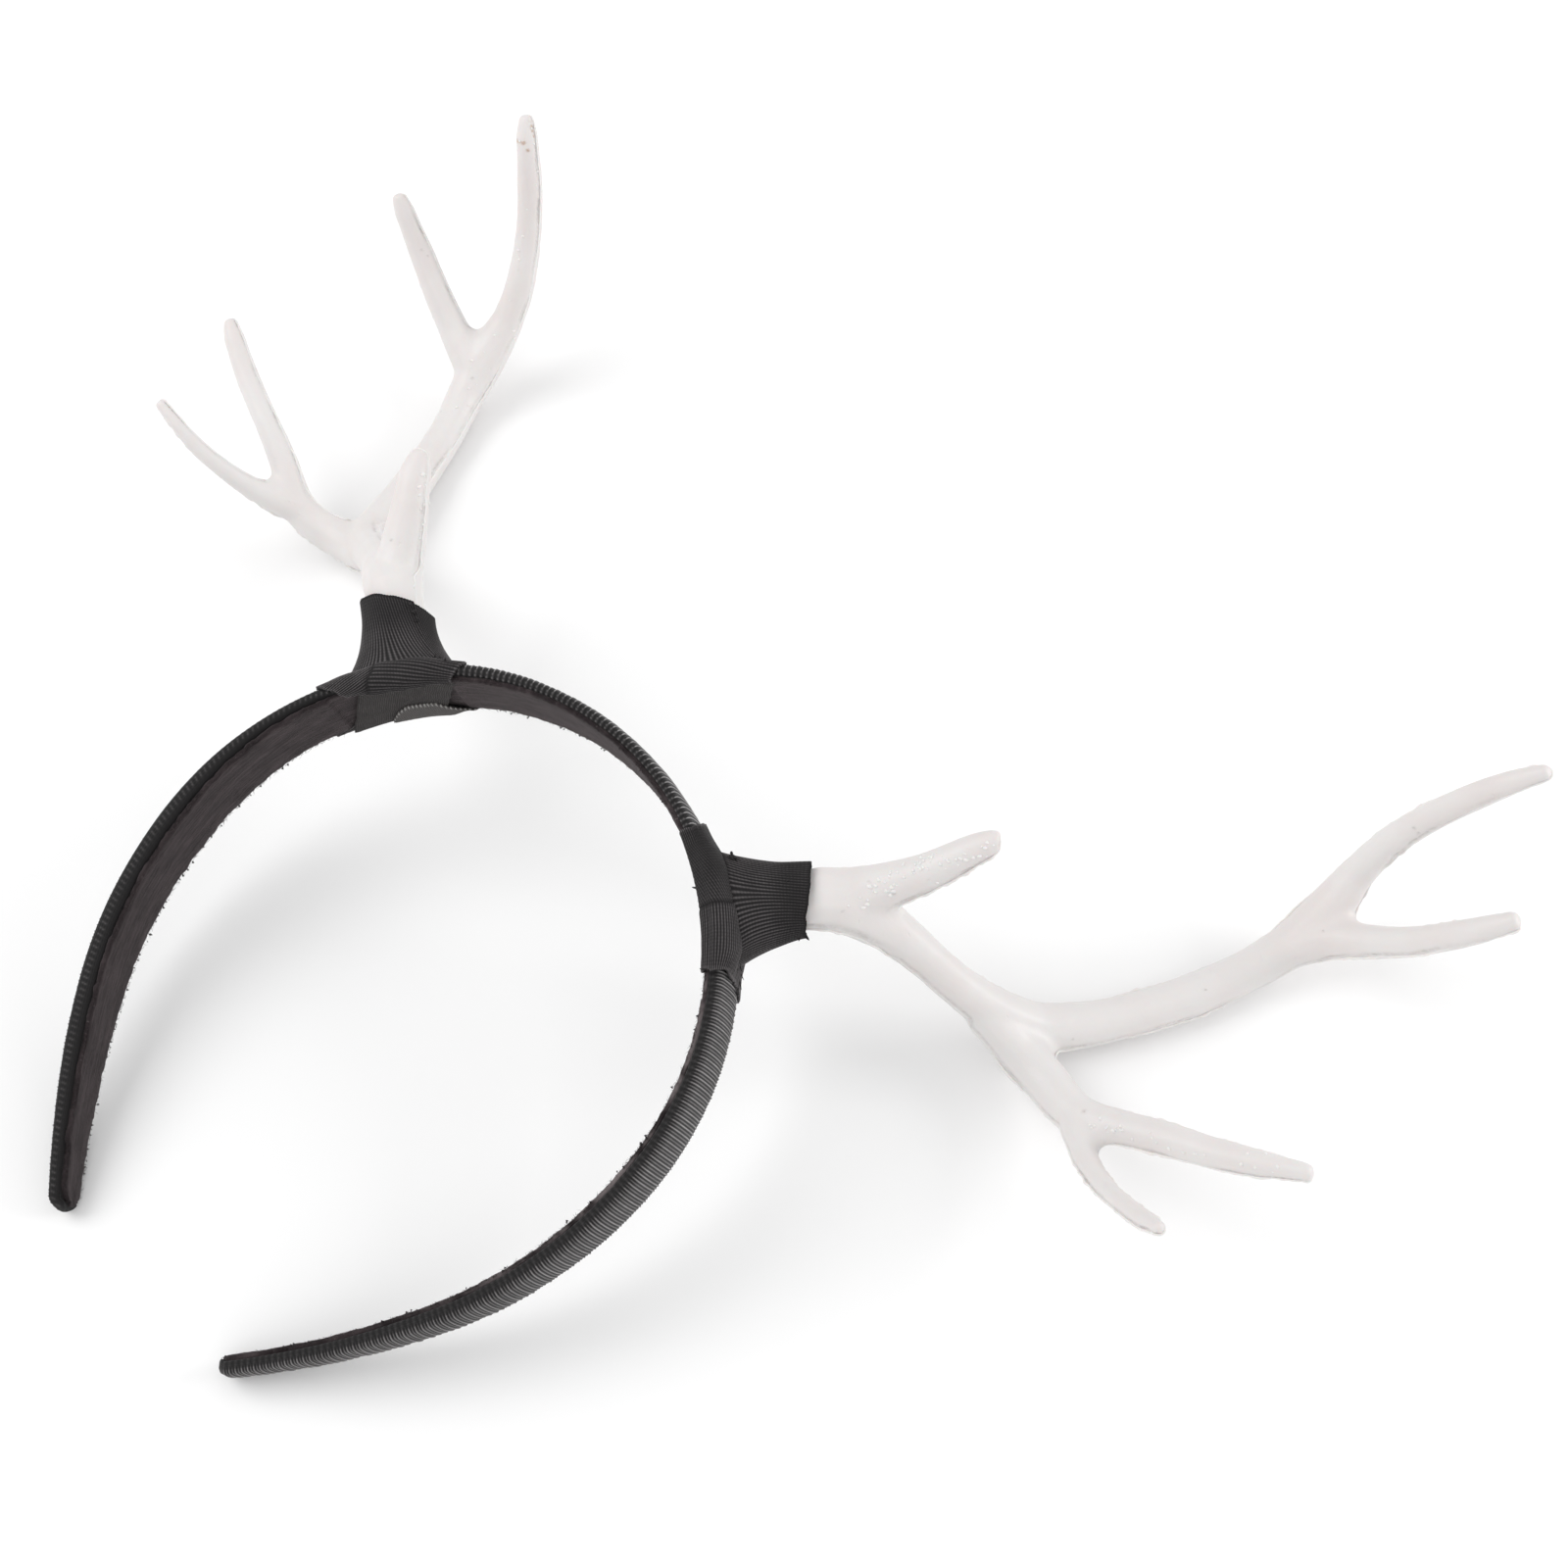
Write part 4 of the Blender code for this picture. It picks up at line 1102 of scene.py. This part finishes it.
def makeLooseThreads(side):
    sources = [bpy.data.objects[kind + "_ribbon_" + side["name"]] for kind in ("saddle", "sleeve")]
    trees = [faceTree(source) for source in sources]
    lines, radii = [], []
    for x, y, leanRight, leanUp, length, thickness in looseThreads[side["name"]]:
        hits = [seenAt(tree, x, y)[0] for tree in trees]
        hits = [hit for hit in hits if hit is not None]
        if not hits:
            continue
        hit = np.array(min(hits, key=lambda spot: (spot - cameraPlace).length))
        way = (pictureRight * leanRight + pictureUp * leanUp) / math.hypot(leanRight, leanUp)
        steps = np.linspace(-0.25, 1.0, 6)[:, None]
        bow = towardsCamera * (0.05 + 0.25 * np.sin(steps * 2.6))
        lines.append(hit + (way * steps * length + bow) * mm)
        radii.append(thickness * mm)
    piece = addTubes("loose_threads_" + side["name"], lines, radii, 6)
    spots = readPoints(piece) / mm
    writeValues(piece, "crest", np.full(len(spots), 0.45))
    writeUv(piece, spots[:, 0], spots[:, 1])
    dress(piece, ribbonFinish, "ribbon")


for side in (rightSide, leftSide):
    makeLooseThreads(side)
print("loose threads made")


antlerPiece = {
    "voxel": 0.52,
    "web": 2.0,
    "dents": 0.11,
    "flashAndPaintedLight": 0.95,
    "flashWall": 0.34,
    "flashTilt": 25.0,
    "grooveAndPaintedShade": 0.32,
    "pitShare": 0.42,
    "blisters": (0.16, 0.40),
    "tipThicker": 0.14,
}

# ends of the tines in millimetres, how far each is drawn out, and the way its cut looks in the picture
tips = {
    "right": [
        ((79.2, 42.0, 62.4), 1.4, (0.75, 0.65)), ((156.2, 131.3, 66.6), 1.3, (0.35, 0.9)),
        ((169.1, 111.3, 46.5), 0.5, (0.7, 0.7)), ((167.1, 39.5, 33.9), 1.1, (1.0, 0.1)),
        ((152.7, 8.6, 36.0), 0.6, (0.5, 0.85)),
    ],
    "left": [
        ((-144.4, 127.4, 67.8), 1.4, (0.8, -0.6)), ((-167.4, 100.1, 46.0), 1.0, (0.85, -0.5)),
        ((-83.4, 33.4, 60.6), 0.8, (0.6, -0.8)), ((-169.3, 41.8, 40.2), 0.5, (-0.4, -0.9)),
        ((-157.9, 11.8, 41.4), 0.5, (-0.9, -0.3)),
    ],
}

# marks by their place in the 1600 x 1600 photo, with a radius in millimetres
scuffs = [
    (528, 144, 0.5), (534.5, 146, 0.55), (538.5, 153.5, 0.4), (541.5, 124, 0.4), (542.5, 129, 0.45),
    (543.5, 134, 0.45), (544.5, 139, 0.35), (531, 145, 0.35),
]
pits = [
    (482, 386, 0.32), (399, 551, 0.3), (430, 255, 0.25), (437, 261, 0.25), (1106, 1134, 0.35),
    (1121, 1117, 0.3), (1443, 845, 0.35), (1447, 850, 0.3), (912, 912, 0.3), (887, 900, 0.25),
    (1001, 900, 0.25), (1230, 1010, 0.25), (860, 930, 0.22), (1095, 1060, 0.22), (450, 420, 0.22),
    (470, 300, 0.22), (1350, 950, 0.25), (1250, 1150, 0.25),
]
bubbleRuns = {  # from one place of the photo to another, how many, and how far they stray
    "right": [
        ((880, 922), (948, 878), 34, 7.0), ((940, 884), (1006, 868), 40, 9.0),
        ((1110, 1146), (1180, 1162), 18, 4.0), ((1180, 1165), (1330, 1200), 12, 8.0),
    ],
    "left": [
        ((545, 135), (520, 345), 14, 6.0), ((432, 480), (428, 600), 16, 5.0),
        ((500, 340), (470, 450), 10, 8.0),
    ],
}


def webbed(piece):
    # fills the crotches between tines to a soft radius: swollen, joined and shrunk again
    look = antlerPiece
    for amount in (look["web"], -look["web"]):
        modify(piece, "REMESH", mode="VOXEL", voxel_size=look["voxel"] * mm, adaptivity=0.0)
        writePoints(piece, readPoints(piece) + readNormals(piece) * amount * mm)
    modify(piece, "REMESH", mode="VOXEL", voxel_size=look["voxel"] * mm, adaptivity=0.0)
    modify(piece, "CORRECTIVE_SMOOTH", factor=0.5, iterations=10, smooth_type="LENGTH_WEIGHTED",
           use_only_smooth=True)


def shapeTips(points, side):
    # draws each tip out a little, keeps it thick and cuts it off aslant
    for place, stretch, cutWay in tips[side["name"]]:
        place = np.array(place) * mm
        reach = np.linalg.norm(points - place, axis=1)
        near = reach < 16.0 * mm
        local = points[near]
        axis = place - points[reach < 11.0 * mm].mean(0)
        axis /= np.linalg.norm(axis)
        ahead = (local - place) @ axis
        middle = place + axis * ahead[:, None]
        share = smoothStep(ahead, -9.0 * mm, 0.0)[:, None]
        local = middle + (local - middle) * (1.0 + antlerPiece["tipThicker"] * share)
        local = local + axis * stretch * mm * share
        way = pictureRight * cutWay[0] - pictureUp * cutWay[1]
        normal = axis * 0.75 + way * 0.75
        normal /= np.linalg.norm(normal)
        over = (local - (place + axis * (stretch - 0.1) * mm)) @ normal - 0.15 * mm
        points[near] = local - normal * np.maximum(over, 0.0)[:, None]
    return points


def markShare(points, tree, marks):
    share = np.zeros(len(points))
    for x, y, radius in marks:
        hit = seenAt(tree, x, y)[0]
        if hit is not None:
            reach = np.linalg.norm(points - np.array(hit), axis=1) / (radius * mm)
            share = np.maximum(share, np.exp(-reach ** 2))
    return share


def addFlash(piece, facing, side):
    # the thin broken fin of resin that the mould's parting line leaves
    look = antlerPiece
    points, normals = readPoints(piece), readNormals(piece)
    mesh = piece.data
    ends = np.zeros(len(mesh.edges) * 2, np.int32)
    mesh.edges.foreach_get("vertices", ends)
    first, second = ends.reshape(-1, 2).T
    crossing = facing[first] * facing[second] < 0.0
    share = (facing[first] / np.where(crossing, facing[first] - facing[second], 1.0))[:, None]
    spots = points[first] * (1.0 - share) + points[second] * share
    ways = normals[first] * (1.0 - share) + normals[second] * share
    used = np.flatnonzero(crossing)
    place = {edge: number for number, edge in enumerate(used)}
    spots, ways = spots[used], ways[used]
    ways /= np.linalg.norm(ways, axis=1)[:, None]
    loopEdges = np.zeros(len(mesh.loops), np.int32)
    mesh.loops.foreach_get("edge_index", loopEdges)
    broad = ripples(spots / mm, 11.0, 41.0)
    fine = ripples(spots / mm, 1.3, 42.0)
    tall = look["flashAndPaintedLight"] * np.clip(0.42 + 1.2 * broad, 0.05, 1.0) * (0.75 + 0.7 * fine)
    tall = np.maximum(tall, 0.06)[:, None] * mm
    low, high = spots - ways * 0.25 * mm, spots + ways * tall
    faces = []
    for face in mesh.polygons:
        around = loopEdges[face.loop_start:face.loop_start + face.loop_total]
        met = [place[edge] for edge in around if edge in place]
        if len(met) == 2:
            faces.append((met[0], met[1], met[1] + len(used), met[0] + len(used)))
    made = addMesh("mould_flash_" + side["name"], np.concatenate([low, high]).tolist(), faces)
    turnOutward(made)
    modify(made, "SMOOTH", factor=0.5, iterations=3)
    modify(made, "SOLIDIFY", thickness=look["flashWall"] * mm, offset=0.0)
    # the fin is painted near white, a painted highlight
    writeValues(made, "flashAndPaintedLight", np.ones(len(made.data.vertices)))
    dress(made, resinFinish, "antler")


def addBubbles(tree, side):
    # trapped air that stands out as small blisters
    draw = random.Random(5)
    bpy.ops.object.select_all(action="DESELECT")
    bpy.ops.mesh.primitive_uv_sphere_add(segments=8, ring_count=6, radius=1.0)
    seed = bpy.context.object
    shape = readPoints(seed)
    faces = [tuple(face.vertices) for face in seed.data.polygons]
    bpy.data.objects.remove(seed)
    points, allFaces = [], []
    for start, stop, count, wide in bubbleRuns[side["name"]]:
        for number in range(count):
            share = draw.random()
            x = start[0] + (stop[0] - start[0]) * share + draw.gauss(0.0, wide)
            y = start[1] + (stop[1] - start[1]) * share + draw.gauss(0.0, wide)
            hit, normal = seenAt(tree, x, y)
            if hit is None:
                continue
            size = draw.uniform(*antlerPiece["blisters"]) * (1.25 if draw.random() < 0.15 else 1.0) * mm
            turn = np.array(normal.to_track_quat("Z", "Y").to_matrix())
            stretch = np.array([size * draw.uniform(0.9, 1.7), size, size * 0.8])
            offset = len(points) * len(shape)
            points.append((shape * stretch) @ turn.T + np.array(hit) - np.array(normal) * size * 0.05)
            allFaces += [tuple(corner + offset for corner in face) for face in faces]
    made = addMesh("resin_blisters_" + side["name"], np.concatenate(points).tolist(), allFaces)
    only(made)
    bpy.ops.object.shade_smooth()
    # the blisters are painted lighter, a painted highlight
    writeValues(made, "flashAndPaintedLight", np.full(len(made.data.vertices), 0.8))
    dress(made, resinFinish, "antler")


def makeAntler(side):
    look = antlerPiece
    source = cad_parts["antler_" + side["name"]]
    mesh = source.data.copy()
    piece = bpy.data.objects.new("cast_antler_" + side["name"], mesh)
    bpy.context.scene.collection.objects.link(piece)
    mesh.materials.clear()
    editWhole(piece, bpy.ops.mesh.remove_doubles, threshold=0.00001)
    webbed(piece)
    only(piece)
    bpy.ops.object.shade_smooth()
    points, normals = shapeTips(readPoints(piece), side), readNormals(piece)
    soft = ripples(points / mm, 9.0, 33.0) + ripples(points / mm, 2.6, 34.0) * 0.35
    soft = soft * look["dents"]
    points = points + normals * (soft * mm)[:, None]
    points[:, 2] = np.maximum(points[:, 2], 0.0)
    writePoints(piece, points)
    # the mould parted along the outline that the photo shows, seen from a little to one side
    tilt = math.radians(look["flashTilt"])
    lean = pictureUp if side["name"] == "right" else -pictureRight
    facing = readNormals(piece) @ (towardsCamera * math.cos(tilt) + lean * math.sin(tilt))
    broken = ripples(points / mm, 7.0, 31.0)
    # painted highlight: a lighter line along the parting line, broken in places
    writeValues(piece, "flashAndPaintedLight", np.exp(-(facing / 0.10) ** 2) * np.clip(0.5 + broken, 0.0, 0.9))
    # a groove beside the parting line, pushed in and also painted darker as painted shade
    grooveAndPaintedShade = np.exp(-((facing - 0.15) / 0.075) ** 2) * np.clip(0.5 + 1.3 * broken, 0.0, 1.0)
    writeValues(piece, "grooveAndPaintedShade", grooveAndPaintedShade)
    writePoints(piece, points - readNormals(piece) * grooveAndPaintedShade[:, None] * look["grooveAndPaintedShade"] * mm)
    tree = faceTree(piece)
    writeValues(piece, "scuff", markShare(points, tree, scuffs if side["name"] == "left" else []))
    writeValues(piece, "pit", markShare(points, tree, pits) * look["pitShare"])
    dress(piece, resinFinish, "antler", "antler_" + side["name"])
    addFlash(piece, facing, side)
    addBubbles(tree, side)


for side in (rightSide, leftSide):
    makeAntler(side)
print("antlers made")


studio = {
    "floor": (0.94, 0.94, 0.94),
    "world": 0.74,
    "lights": [  # name, watts, size and place in metres
        ("key", 7.0, 0.9, (-0.75, -0.45, 1.0)),
        ("fill", 2.0, 1.2, (0.7, -0.9, 0.9)),
        ("rim", 6.0, 0.6, (0.9, 0.9, 0.55)),
    ],
}


def makeStudio():
    only(camera)
    bpy.ops.object.select_all(action="DESELECT")
    bpy.ops.mesh.primitive_plane_add(size=12.0, location=(0.0, 0.0, -0.0002))
    floor = bpy.context.object
    floor.name = "studio_floor"
    finish = Finish("paleFloor", Roughness=0.9, Specular_IOR_Level=0.1)
    finish.shader.inputs["Base Color"].default_value = (*studio["floor"], 1.0)
    floor.data.materials.append(finish.material)
    world = bpy.data.worlds.new("studioWorld")
    world.use_nodes = True
    world.node_tree.nodes["Background"].inputs["Color"].default_value = (1.0, 1.0, 1.0, 1.0)
    world.node_tree.nodes["Background"].inputs["Strength"].default_value = studio["world"]
    bpy.context.scene.world = world
    bpy.context.scene.view_settings.view_transform = "Standard"
    for name, watts, size, place in studio["lights"]:
        bpy.ops.object.light_add(type="AREA", location=place)
        lamp = bpy.context.object
        lamp.name = name
        lamp.data.energy = watts
        lamp.data.size = size
        lamp.rotation_mode = "QUATERNION"
        lamp.rotation_quaternion = (Vector((0.0, 0.0, 0.03)) - Vector(place)).to_track_quat("-Z", "Y")


makeStudio()
print("studio set")
